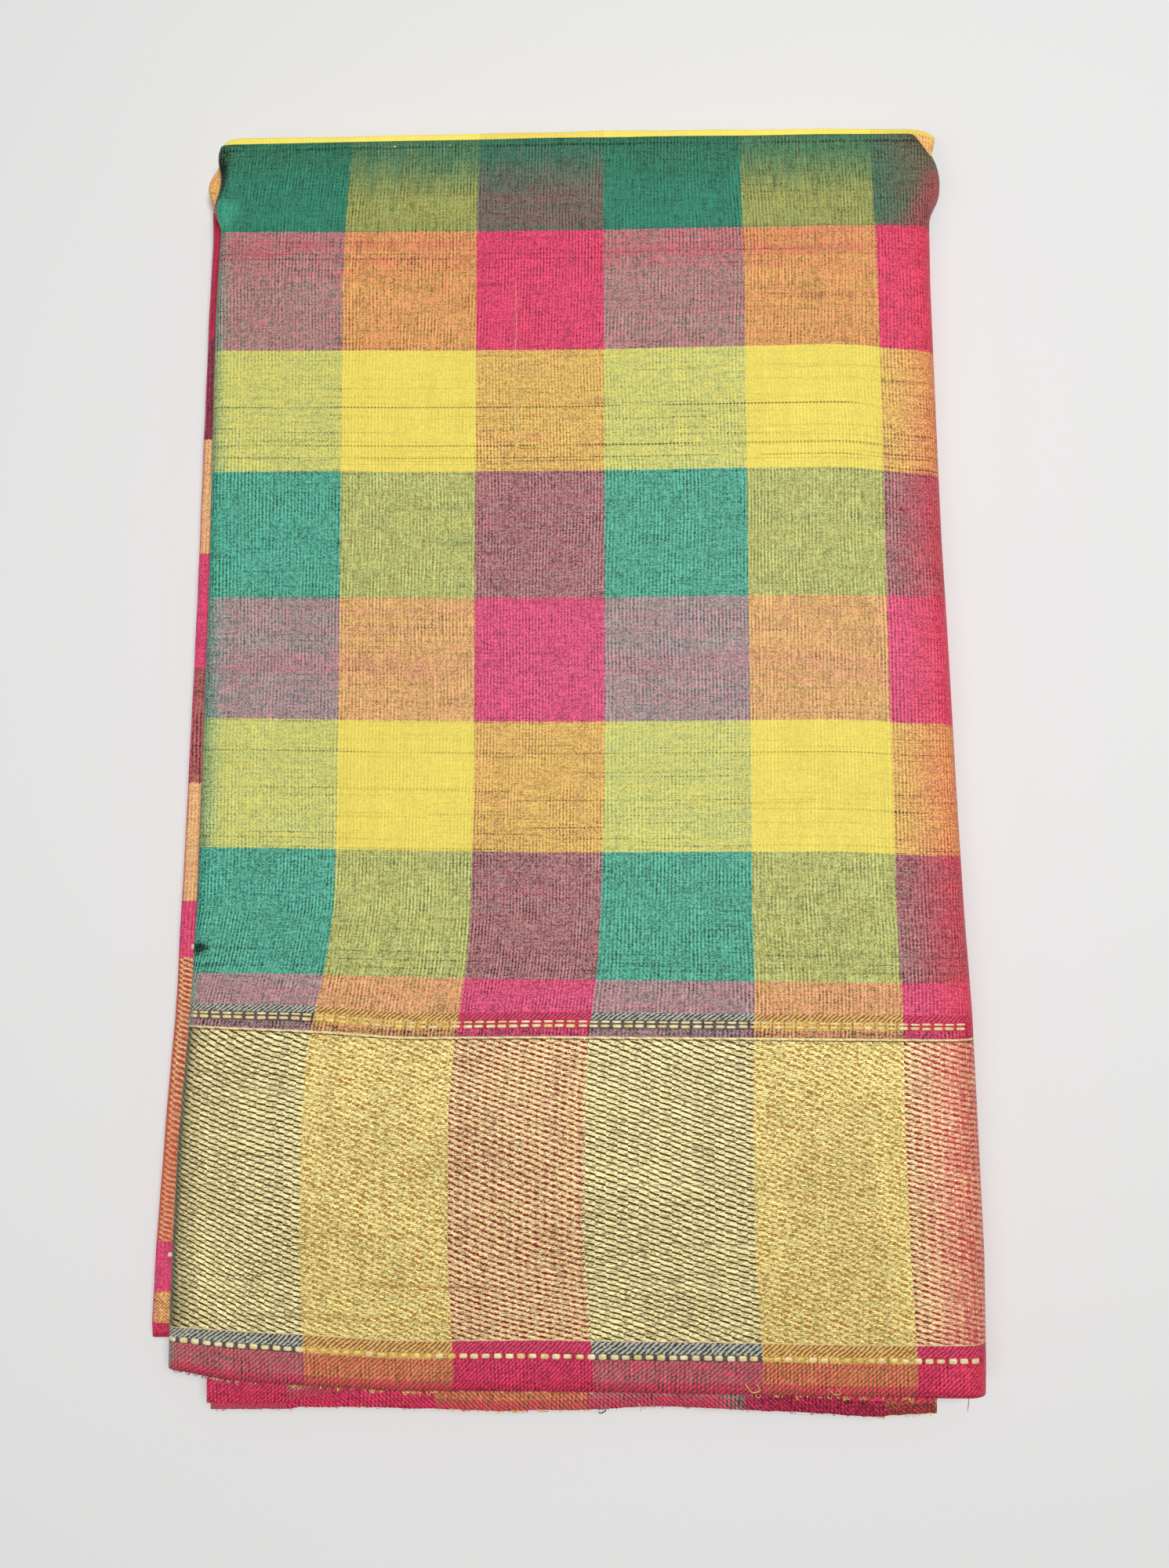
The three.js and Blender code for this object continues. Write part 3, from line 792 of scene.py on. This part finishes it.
def silk_material():
    """Check silk with its zari border, woven from three yarn colours and gold."""
    g = Graph("check_silk")
    along, signed, _ = g.split(g.value("UVMap", 0, {}, uv_map="cloth"))
    across = g.math("ABSOLUTE", signed)
    other = g.math("LESS_THAN", signed, 0.0)
    face = 1.0 - other
    sideways = g.split(g.value("NewGeometry", "Normal", {}))[0]
    turned = g.between(g.math("ABSOLUTE", sideways), 0.10, 0.85)
    near_fold = g.between(along, -2.0, 13.0, 0.9, 0.0) + g.between(along, 304.0, 330.0, 0.0, 0.85)
    turned = g.math("MAXIMUM", turned, near_fold * (face * g.band(along, -8.0, 345.0, 8.0)))
    (warp_thread, weft_thread, warp_group, weft_group, blotch, patch, speck, sway, line_noise,
     line_reach, glint) = [
        g.noise(g.vector(along * drawn_along, across * drawn_across), scale, detail)
        for drawn_along, drawn_across, scale, detail in NOISES
    ]

    # Plain weave: a lattice of crossings that turns into ribs here and there
    bent_along = along + (sway - 0.5) * 3.0
    bent_across = across + (sway - 0.5) * 5.0
    crossing = g.cells(bent_along, bent_across, LATTICE_ALONG / 2, LATTICE_ACROSS / 2)
    rib = g.wave(bent_along, LATTICE_ALONG)
    lattice = rib * g.wave(bent_across, LATTICE_ACROSS)
    rib_share = g.between(patch + (weft_group - 0.5) * 0.6, 0.30, 0.75, 0.1, 0.8)
    weave = g.mix_numbers(rib_share, lattice, rib)

    # Bands of both sets of threads, their edges off by part of a thread
    warp_place = (across + (weft_thread - 0.5) * 0.9 + lattice * 0.22) / WIDTH_SPAN
    weft_at = along + (warp_thread - 0.5) * 0.8
    weft_place = g.math("FRACT", weft_at / REPEAT)

    def by_warp(column):
        """A column of the warp tables, picked by the half of the width."""
        halves = [[(row[0] / WIDTH_SPAN, row[column]) for row in rows] for rows in WARPS]
        return g.mix(other, g.steps(warp_place, halves[0]), g.steps(warp_place, halves[1]))

    def by_weft(table):
        return g.steps(weft_place, [(i / 3.0, row) for i, row in enumerate(table)])

    warp = by_warp(1)
    share, grain, lines = g.split(by_warp(2))
    weft = by_weft(WEFT)
    share_shift, crossing_shade, slope = g.split(by_weft(WEFT_COVER))
    hold, uncovered, strip_slope = g.split(by_weft(DYE_HOLD))
    thickness, tapering, roughness = g.split(by_weft(STITCHES))

    # Green dye has run from the crease into the other threads
    in_dye = g.math("LESS_THAN", across, DYE_END)
    towards_bulge = along + across * 0.45 + (warp_thread - 0.5) * 8.0
    bared = g.between(towards_bulge, 334.0, 346.0) * g.between(across, 14.0, 21.0)
    run = across + (weft_thread - 0.5) * 16.0 + (weft_group - 0.5) * 16.0
    run = run + (warp_thread - 0.5) * 12.0 + (speck - 0.5) * 16.0 + bared * 40.0
    dyed = g.between(run, 1.0, 35.0, 0.97, 0.0) * g.between(across, 44.0, 45.2, 1.0, 0.0) * face * hold
    greyed = g.between(weft_at, 304.0, 305.6) * g.between(across, 30.0, 46.0, 0.85, 0.55)
    greyed = greyed * (1.0 - bared) * in_dye
    weft = g.mix(g.math("MAXIMUM", dyed, greyed), weft, DYED)
    weft = g.mix(greyed * 0.9, weft, GREYED)
    # Near the right-hand fold the weft becomes a purer red, darkened by painted shade
    right_fold_tint_and_light = g.between(along, 300.0, 331.0) * face * g.math("MAXIMUM", bared, 1.0 - in_dye)
    weft = g.mix(right_fold_tint_and_light * 0.7, weft, RIGHT_WEFT_SHADED)

    # How much of the surface the warp takes
    share = share + weave * 0.14 + (crossing - 0.5) * 0.24 + (warp_thread - 0.5) * 0.30
    share = share + (weft_thread - 0.5) * -0.20 + share_shift
    below_dye = g.between(across, 6.0, 34.0) * g.between(across, 45.0, 46.4, 1.0, 0.0)
    share = share - below_dye * uncovered * face + (warp_group - 0.5) * 0.16
    laid_bare = other * g.between(across, 58.0, 80.0, 0.0, 0.5) + face * 0.4
    share = share - turned * laid_bare
    streaked = g.between(warp_thread + (warp_group - 0.5) * 0.5, 0.36, 0.64, 0.25, 1.0)
    for low, high, gain in STREAKED_BANDS:
        share = share + g.band(across, low, high, 6.0) * face * streaked * gain
    share = g.math("MINIMUM", g.math("MAXIMUM", share, 0.0), 1.0)
    ground = g.mix(share, weft, warp)

    # Threads of unlike colour shade each other where they cross
    red_part, green_part, _ = g.split(ground)
    pale = g.math("MINIMUM", red_part, green_part)
    grain = grain * g.between(pale, 0.45, 0.72, 1.0, 0.4)
    texture = weave * 0.72 + (crossing - 0.5) * 1.1 + (weft_thread - 0.5) * 0.9 + (warp_thread - 0.5)
    light = 1.0 - g.distance(warp, weft) * crossing_shade + texture * grain
    light = light + (weft_group - 0.5) * 0.12 + (blotch - 0.5) * 0.12
    # Painted light and shade on the right-hand fold: red and yellow rows paler, green rows darker
    light = light + right_fold_tint_and_light * g.between(red_part, 0.46, 0.62, -0.16, 0.16)
    # Painted shade along the face's left fold
    light = light + face * g.between(along, -1.0, 9.0, -0.36, 0.0)
    # Painted light on the strip's upper end, fading out by 62 mm from the crease
    light = light + other * g.between(across, 40.0, 62.0, 0.22, 0.0)
    # Painted shade in the face's hollows and painted highlight on its bulges
    for middle_along, middle_across, far_along, far_across, gain in SHADES:
        away_along = (along - middle_along) * (1 / far_along)
        away_across = (across - middle_across) * (1 / far_across)
        away = g.length(g.vector(away_along, away_across))
        light = light + g.between(away, 0.2, 1.2, gain, 0.0) * face

    # Single dark threads, dotted where the other set crosses over them
    dots = g.between(g.wave(along, LATTICE_ALONG), -0.7, 0.5, 1.0, 0.25)
    line = g.between(line_noise, 0.60, 0.66) * g.between(line_reach, 0.34, 0.52)
    lines = lines * g.between(pale, 0.45, 0.72, 1.15, 0.35)
    light = light - line * lines * (dots * 0.85)
    dotted = dots * g.between(line_reach, 0.30, 0.46)
    for distance, half, strength in DARK_THREADS:
        light = light - g.line(across, distance, half) * face * dotted * strength
    light = light - g.band(across, 422.3, 425.0, 0.3) * face * 0.30
    ground = g.brighten(ground, g.math("MAXIMUM", light, 0.06))

    # Zari: gold floats in slanting rows, with dark stitches that step down to the right
    column = (along + (weft_group - 0.5) * 1.6) / FLOAT_LENGTH
    column_part = g.math("FRACT", column)
    slope = slope + other * strip_slope
    stepped = g.math("FLOOR", column) + column_part * 0.7
    drift = stepped * (slope * FLOAT_LENGTH) + (sway - 0.5) * 9.0 + (patch - 0.5) * 0.8
    row_away = g.math("ABSOLUTE", g.math("FRACT", (across - drift) / FLOAT_ROW) - 0.5)
    column_away = g.math("ABSOLUTE", column_part - 0.5)
    float_cell = g.cells(along + across, across, 0.95, 0.66)
    taper = thickness + other * 0.05 - column_away * tapering + (float_cell - 0.5) * roughness
    stitch = g.between(row_away - taper, -0.04, 0.04, 1.0, 0.0)
    stitch = stitch * g.between(warp_group, 0.30, 0.42, 0.85, 1.0)
    threads = g.wave(across - drift, FLOAT_ROW / 3)
    # The floats' brightness holds painted glints of the gold as well as uneven threads
    gold_light = 0.98 + threads * 0.16 + (warp_thread - 0.5) * 0.55 + (glint - 0.5) * 1.4
    gold_light = gold_light + (float_cell - 0.5) * 0.95
    gold_light = gold_light + (weft_group - 0.5) * 0.30 + (blotch - 0.5) * 0.35
    gaps = by_weft(GAPS)
    zari = g.mix(stitch, g.brighten(by_weft(FLOATS), gold_light), gaps)
    zari = g.mix(g.between(line_noise, 0.66, 0.70) * 0.5, zari, gaps)
    # At the folds the zari shows more of its weft, darkened by painted shade, more on the left fold than
    # on the right
    at_fold = turned * g.between(weft_thread, 0.35, 0.6, 0.95, 0.45)
    zari = g.mix(at_fold, zari, g.brighten(weft, g.between(along, 100.0, 250.0, 0.28, 0.72)))
    reddish = g.between(across, 470.0, 520.0, 0.36, 0.56) + turned * 0.4
    zari = g.mix(other * reddish, zari, STRIP_ZARI)
    # Painted shade on the zari near the left fold and painted light near the right-hand fold
    edge_light = g.between(along, 7.0, 24.0, 0.46, 1.0) * g.between(along, 285.0, 331.0, 1.0, 1.36)
    zari = g.mix(face, zari, g.brighten(zari, edge_light))
    in_zari = g.band(across, ZARI_START, ZARI_END, 0.25)

    # Hatched bands beside the rows of dashes, the ground under them, and the selvedge
    hatch_wave = g.wave(along + across + (patch - 0.5) * 3.0, 2.1)
    hatch_share = g.between(hatch_wave + (crossing - 0.5) * 1.6, -0.35, 0.45)
    hatch = g.mix(hatch_share, by_weft(HATCH_DARK), by_weft(HATCH_LIGHT))
    hatch_edge = across + (speck - 0.5) * 1.4
    dash_ground = g.brighten(by_weft(DASH_GROUND), light + 0.15)
    colour = ground
    for low, high in HATCH_BANDS:
        colour = g.mix(g.band(hatch_edge, low, high, 0.3) * face * 0.88, colour, hatch)
    for low, high in DASH_BANDS:
        colour = g.mix(g.band(across, low, high, 0.25) * face * 0.8, colour, dash_ground)
    in_selvedge = g.between(across, 569.2, 569.8) * face
    colour = g.mix(in_selvedge, colour, g.brighten(colour, 0.92 + hatch_wave * 0.34))
    colour = g.mix(in_zari, colour, zari)
    laid = g.between(speck, 0.34, 0.5, 0.35, 0.9)
    for centre, half, tint in ZARI_LINES:
        colour = g.mix(g.line(across, centre, half) * face * laid, colour, tint)
    for centre in STRIP_DASHES:
        dash = g.line(across, centre, 1.0) * g.band(along, 166.8, 172.0, 0.2) * other
        colour = g.mix(dash, colour, STRIP_DASH)

    # Relief of the weave and of the floats
    height = g.mix_numbers(in_zari, weave * 0.5 + weft_thread, threads * 0.4 - stitch * 1.8)
    g.feed(g.shader, {
        "Base Color": colour,
        "Normal": g.bump(height, 0.4, 0.14),
        "Roughness": 0.56 - in_zari * 0.14,
        "Metallic": in_zari * (1.0 - stitch) * 0.2,
        "Sheen Weight": 0.06,
        "Sheen Roughness": 0.4,
        "Specular IOR Level": 0.2,
    })
    return g.material


def thread_material(name, dark, pale, metallic):
    """Loose or laid thread: two shades along its fibres."""
    g = Graph(name)
    x, y, _ = g.split(g.value("TexCoord", "Object", {}))
    fibres = g.noise(g.vector(x * 0.35, y), 2600.0, 2.0)
    patches = g.noise(g.vector(x, y), 240.0, 1.0)
    share = g.between(fibres + (patches - 0.5) * 0.9, 0.30, 0.72)
    g.feed(g.shader, {
        "Base Color": g.mix(share, dark, pale),
        "Normal": g.bump(fibres, 0.5, 0.12),
        "Roughness": 0.45,
        "Metallic": metallic,
    })
    return g.material


def joined_piece(name, parts, threads):
    """One object from many small closed meshes: vertices in millimetres, faces, name of thread."""
    verts = []
    faces = []
    numbers = []
    for part_verts, part_faces, thread in parts:
        base = len(verts)
        verts.extend(tuple(value * MM for value in point) for point in part_verts)
        faces.extend(tuple(base + i for i in face) for face in part_faces)
        numbers.extend([list(threads).index(thread)] * len(part_faces))
    mesh = bpy.data.meshes.new(name)
    mesh.from_pydata(verts, [], faces)
    mesh.polygons.foreach_set("material_index", numbers)
    mesh.polygons.foreach_set("use_smooth", [True] * len(faces))
    mesh.update()
    for material in threads.values():
        mesh.materials.append(material)
    return new_object(name, mesh)


def ring_faces(rings, count):
    """Faces between rings of count points each, numbered ring by ring."""
    faces = []
    for row in range(rings - 1):
        for i in range(count):
            a = row * count + i
            b = row * count + (i + 1) % count
            faces.append((a, b, b + count, a + count))
    return faces


def ringed(rings):
    """A closed form over rings of equally many points, closed by a point at both ends."""
    count = len(rings[0])
    verts = [point for ring in rings for point in ring]
    faces = ring_faces(len(rings), count)
    for ring, base, order in ((rings[0], 0, -1), (rings[-1], (len(rings) - 1) * count, 1)):
        middle = len(verts)
        verts.append(np.mean(ring, axis=0))
        for i in range(count):
            pair = (base + i, base + (i + 1) % count)
            faces.append((*pair[::order], middle))
    return verts, faces


def pad(x, across, half_length, half_width, height):
    """One rounded dash of gold thread, laid on the face."""
    angle = np.linspace(0, 2 * math.pi, 14, endpoint=False)
    ring_x = half_length * np.sign(np.cos(angle)) * np.abs(np.cos(angle)) ** 0.45
    ring_y = half_width * np.sign(np.sin(angle)) * np.abs(np.sin(angle)) ** 0.55
    rings = []
    for scale, rise in ((0.96, -0.30), (1.0, 0.45 * height), (0.80, height)):
        px = x + ring_x * scale
        py = face_y(across, px) + ring_y * scale
        rings.append(np.stack([px, py, face_height(px, py) + rise], axis=1))
    return ringed(rings)


# Rows of dashes: distance from the crease, half width, half length, height
DASH_ROWS = ((419.3, 0.50, 2.1, 0.36), (421.0, 0.72, 2.1, 0.46), (568.0, 1.15, 1.85, 0.55))
DASH_PITCH = 5.25
DASH_MARGINS = (2.6, 3.6)
YELLOW_BANDS = (1, 4)


def gold_dashes(threads):
    """Rows of gold dashes on both sides of the zari."""
    rng = np.random.default_rng(5)
    parts = []
    for across, half_width, half_length, height in DASH_ROWS:
        middle_y = float(face_y(across, 0.0))
        start = float(smooth_outline(UPPER_LEFT, middle_y)) + DASH_MARGINS[0]
        stop = float(smooth_outline(RIGHT_END, middle_y)) - DASH_MARGINS[1]
        for x in np.arange(start, stop, DASH_PITCH):
            aside, wider, up, shade = rng.uniform(-1, 1, 4)
            thread = "cream" if shade > -0.3 else "gold"
            if int(face_along(x, middle_y) // WEFT_BAND) in YELLOW_BANDS:
                thread = "bright_gold" if shade > -0.2 else "gold"
            wide = half_width * (1 + 0.14 * wider)
            dash = pad(x + 0.2 * aside, across + 0.1 * up, half_length, wide, height)
            parts.append((*dash, thread))
    return joined_piece("gold_dashes", parts, threads)


def tube(points, radius, sides=5):
    """A thin closed tube along the points."""
    forward = np.gradient(points, axis=0)
    forward /= np.maximum(np.linalg.norm(forward, axis=1, keepdims=True), 1e-9)
    aside = np.cross(forward, np.array([0.13, 0.21, 0.97]))
    aside /= np.maximum(np.linalg.norm(aside, axis=1, keepdims=True), 1e-9)
    over = np.cross(forward, aside)
    angle = np.linspace(0, 2 * math.pi, sides, endpoint=False)[:, None]
    rings = []
    for place in range(len(points)):
        taper = 0.45 if place in (0, len(points) - 1) else 1.0
        around = np.cos(angle) * aside[place] + np.sin(angle) * over[place]
        rings.append(points[place] + radius * taper * around)
    return ringed(rings)


def loop_points(x, y, z, reach, width, lean, lift):
    """A small loop of thread that leaves an edge and comes back to it."""
    t = np.linspace(0, 1, 11)
    px = x + lean * t + width * np.sin(2 * math.pi * t)
    py = y + 0.5 - (reach + 0.5) * np.sin(math.pi * t)
    pz = z + lift * np.sin(math.pi * t)
    return np.stack([px, py, pz], axis=1)


# Frayed stretches: which edge, x from, x to, loops for each centimetre, how far they reach,
# and their threads
FRAYED = (
    ("face", -178, -126, 10, 1.9, "pink crimson teal cream"),
    ("face", -126, -58, 7, 1.7, "bright_gold bright_gold bright_gold crimson"),
    ("face", -58, 14, 5, 1, "bright_gold crimson crimson"),
    ("face", 14, 86, 4, 1.1, "crimson pink teal"),
    ("face", 86, 158, 5.5, 1.9, "bright_gold bright_gold crimson"),
    ("lower", -160, -120, 5, 1.2, "pink cream crimson"),
    ("lower", -120, -60, 4, 0.8, "crimson crimson bright_gold"),
    ("lower", -60, 12, 9, 1, "bright_gold bright_gold crimson"),
    ("lower", 12, 82, 4, 1, "pink crimson cream"),
    ("lower", 82, 144, 4, 0.8, "crimson crimson pink"),
    ("lower", 140, 167, 9, 1.5, "bright_gold bright_gold cream"),
)
# Single threads: thread, radius, and their points
STRAY_THREADS = (
    ("pink", 0.13, ((-122, -295, 16), (-126, -298, 12), (-133, -300, 6), (-138, -298.5, 2))),
    ("crimson", 0.13, ((-118, -295, 16), (-124, -299, 9), (-130, -300.5, 3), (-134, -301, 1))),
    ("teal", 0.34, ((17.5, -295.5, 17), (18.5, -298.5, 16), (16.2, -301, 13), (15, -301.6, 11))),
    ("teal", 0.22, ((16, -295, 17), (14.5, -298, 15), (15.8, -300.2, 12))),
    ("cream", 0.24, ((9, -296, 16.6), (8.2, -298.6, 15), (8.8, -300.4, 13))),
    ("cream", 0.2, ((33, -295, 16.6), (34.5, -298.2, 15), (34, -299.6, 14))),
    ("teal", 0.2, ((56, -294.6, 16.6), (56.4, -298.2, 14), (55.2, -299.2, 12))),
    ("pink", 0.12, ((82, -296, 15), (84, -300, 8), (79, -304, 2), (73, -303, 0.5))),
    ("pink", 0.12, ((176, -288, 10), (184, -292, 2), (188, -299, 0.4), (187, -306, 0.3))),
    ("pink", 0.10, ((-96, -295, 16), (-101, -299, 7), (-104, -303, 0.6))),
    ("cream", 0.12, ((-57, -297, 16), (-61, -301, 6), (-62, -305, 0.5))),
    ("bright_gold", 0.2, ((118, -287, 19.2), (121, -290, 19.6), (124, -289.4, 19.8), (122.4, -287, 19.6))),
    ("bright_gold", 0.26, ((81, -285, 19.6), (84, -289.5, 19.4), (88, -288, 19.6), (86, -285, 19.8))),
)
# Thread that lies on the face: thread, radius and the x and y of its points
LAID_THREADS = (
    ("cream", 0.10, ((-24, 224), (-23.8, 200), (-24.2, 170), (-23.6, 144))),
    ("bright_gold", 0.45, ((-24.6, 145.2), (-20, 143.6), (-14, 144.2), (-8.5, 143.8))),
    ("cream", 0.12, ((-23.4, 160), (-22, 150), (-23.8, 143))),
    ("bright_gold", 0.40, ((-82.6, 290), (-81.5, 290.3))),
    ("bright_gold", 0.32, ((-56.1, 290.8), (-55.2, 290.9))),
    ("crimson", 0.55, ((156.3, 114.7), (157.6, 114.4))),
    ("crimson", 0.30, ((154.6, 90.6), (157.4, 90.5))),
)


def bent(points, count):
    """More points along the same smooth line."""
    points = np.asarray(points, dtype=float)
    t = np.linspace(0, len(points) - 1, count)
    places = np.arange(len(points))
    line = np.stack([np.interp(t, places, column) for column in points.T], axis=1)
    for _ in range(3):
        line[1:-1] = (line[:-2] + 2 * line[1:-1] + line[2:]) / 4
    return line


def edge_point(edge, x):
    """y and z of an edge of the cloth in front, at any x."""
    if edge == "face":
        y = float(face_y(SELVEDGE, x))
        return y, float(face_height(x, y)) - 0.2
    y = float(np.interp(x, LOWER_EDGE[:, 0], LOWER_EDGE[:, 1]))
    return y, LOWER_TOP_Z - 1.1


def frayed_threads(threads):
    """Loops and loose ends of thread along the selvedges, and strays on the face."""
    rng = np.random.default_rng(17)
    parts = []
    for edge, from_x, to_x, density, far, names in FRAYED:
        colours = names.split()
        for _ in range(int((to_x - from_x) / 10 * density)):
            x = rng.uniform(from_x, to_x)
            reach, width, lean, lift = rng.uniform(0.25, 1.0) ** 1.5 * far, *rng.uniform(-1, 1, 3)
            thread = colours[rng.integers(len(colours))]
            y, z = edge_point(edge, x)
            points = loop_points(x, y, z, reach, 0.7 * width, 1.3 * lean, 0.35 * lift)
            radius = rng.uniform(0.10, 0.19) * (1.25 if thread == "bright_gold" else 0.8)
            parts.append((*tube(points, radius), thread))
    for thread, radius, points in STRAY_THREADS:
        parts.append((*tube(bent(points, 16), radius), thread))
    for thread, radius, points in LAID_THREADS:
        line = bent(points, 40)
        line[:, 0] += 0.12 * seeded_wave(line[:, 1], 0.0, 91, 12.0)
        z = face_height(line[:, 0], line[:, 1]) + radius * 0.7
        parts.append((*tube(np.column_stack([line, z]), radius), thread))
    return joined_piece("frayed_threads", parts, threads)


# The filling: how far it stays inside the stack at the left, right, bottom and top
CORE_STATIONS = np.linspace(-262.0, 268.0, 14)
CORE_LEFT = 16
CORE_RIGHT = 14
CORE_BOTTOM = 2.2
CORE_TOP = STACK_TOP - 2.4


def core_block():
    """A plain filling well inside the layers, so that no light passes through the stack."""
    verts = []
    for y in CORE_STATIONS:
        left = smooth_outline(UPPER_LEFT, y) + CORE_LEFT
        right = smooth_outline(RIGHT_END, y) - CORE_RIGHT
        corners = (
            (left, CORE_BOTTOM), (right, CORE_BOTTOM), (right + 3, 9.0), (right, CORE_TOP),
            (left, CORE_TOP),
        )
        verts.extend((x * MM, y * MM, z * MM) for x, z in corners)
    faces = ring_faces(len(CORE_STATIONS), 5)
    faces.append(tuple(range(5))[::-1])
    faces.append(tuple(range(len(verts) - 5, len(verts))))
    mesh = bpy.data.meshes.new("inner_layers")
    mesh.from_pydata(verts, [], faces)
    layer = mesh.uv_layers.new(name="cloth")
    for loop in mesh.loops:
        point = mesh.vertices[loop.vertex_index].co
        layer.data[loop.index].uv = (point.x / MM + 200, 200 + 100 * point.y)
    mesh.update()
    return new_object("inner_layers", mesh)


CAMERA_LENS = 27.0
CAMERA_TILT = 3.3
CAMERA_PLACE = (0.0086, -0.046, 0.5636)
WORLD_LIGHT = 0.20
# Lamps: name, place, size and power
LAMPS = (("key", (0.35, 0.30, 1.7), 0.8, 21.0), ("fill", (-0.7, -0.5, 1.5), 1.2, 5.0))


def stage():
    """Pale floor, soft light and the camera at the photograph's angle."""
    bpy.ops.mesh.primitive_plane_add(size=6.0, location=(0, 0, -0.0002))
    floor = bpy.context.object
    floor.name = "floor"
    g = Graph("floor_pale")
    g.feed(g.shader, {"Base Color": (0.86, 0.855, 0.85), "Roughness": 0.9})
    floor.data.materials.append(g.material)
    world = bpy.data.worlds.new("studio")
    world.use_nodes = True
    background = world.node_tree.nodes["Background"]
    background.inputs[0].default_value = (1.0, 1.0, 1.0, 1)
    background.inputs[1].default_value = WORLD_LIGHT
    bpy.context.scene.world = world
    for name, place, size, power in LAMPS:
        light = bpy.data.lights.new(name, "AREA")
        light.shape = "DISK"
        light.size = size
        light.energy = power
        lamp = new_object(name, light)
        lamp.location = place
        lamp.rotation_euler = (-Vector(place)).to_track_quat("-Z", "Y").to_euler()
    camera_data = bpy.data.cameras.new("camera")
    camera_data.lens = CAMERA_LENS
    camera = new_object("camera", camera_data)
    camera.location = CAMERA_PLACE
    camera.rotation_euler = (math.radians(CAMERA_TILT), 0.0, 0.0)
    bpy.context.scene.camera = camera
    bpy.context.scene.view_settings.view_transform = "Standard"


# Threads: dark and pale colour, and how metallic
THREADS = {
    "gold": ((0.70, 0.52, 0.18), (0.96, 0.82, 0.42), 0.05),
    "cream": ((0.74, 0.60, 0.30), (0.96, 0.88, 0.54), 0.05),
    "bright_gold": ((0.66, 0.44, 0.08), (0.95, 0.78, 0.22), 0.1),
    "crimson": ((0.32, 0.015, 0.04), (0.72, 0.06, 0.13), 0.0),
    "pink": ((0.45, 0.10, 0.13), (0.82, 0.38, 0.42), 0.0),
    "teal": ((0.02, 0.16, 0.11), (0.12, 0.48, 0.34), 0.0),
}
DASH_THREADS = ("gold", "cream", "bright_gold")
FRAYED_THREADS = ("bright_gold", "crimson", "pink", "teal", "cream")


def dress():
    """Every piece, its finish and the body that it moves with."""
    silk = silk_material()
    threads = {name: thread_material(name + "_thread", *look) for name, look in THREADS.items()}
    outer = outer_layer()
    strip = lower_fold()
    crease = back_crease()
    upper_front = front_sheet("upper_selvedge_sheet", UPPER_EDGE, UPPER_WEFT, UPPER_TOP_Z, 70)
    lower_front = front_sheet("lower_selvedge_sheet", LOWER_EDGE, LOWER_WEFT, LOWER_TOP_Z, 77)
    front, front_back = front_layers()
    back = back_layers()
    core = core_block()
    dashes = gold_dashes({name: threads[name] for name in DASH_THREADS})
    frayed = frayed_threads({name: threads[name] for name in FRAYED_THREADS})
    for piece in (outer, strip, crease, upper_front, lower_front, front, front_back, back, core):
        piece.data.materials.append(silk)
    slots = (
        (outer, "silk_body"), (strip, "silk_body"), (crease, "silk_crease"),
        (upper_front, "silk_selvedge"), (lower_front, "silk_selvedge"), (front, "silk_layers"),
        (front_back, "silk_layers"), (back, "silk_layers"), (core, "silk_layers"),
        (dashes, "silk_border"), (frayed, "silk_selvedge"),
    )
    for piece, slot in slots:
        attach(piece, "root")
    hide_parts("outer_layer_body", "outer_layer_border")
    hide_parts("lower_fold_body", "lower_fold_border")
    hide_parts("back_crease")
    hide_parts("upper_selvedge")
    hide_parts("lower_selvedge")
    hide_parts("hidden_layers")


dress()
stage()
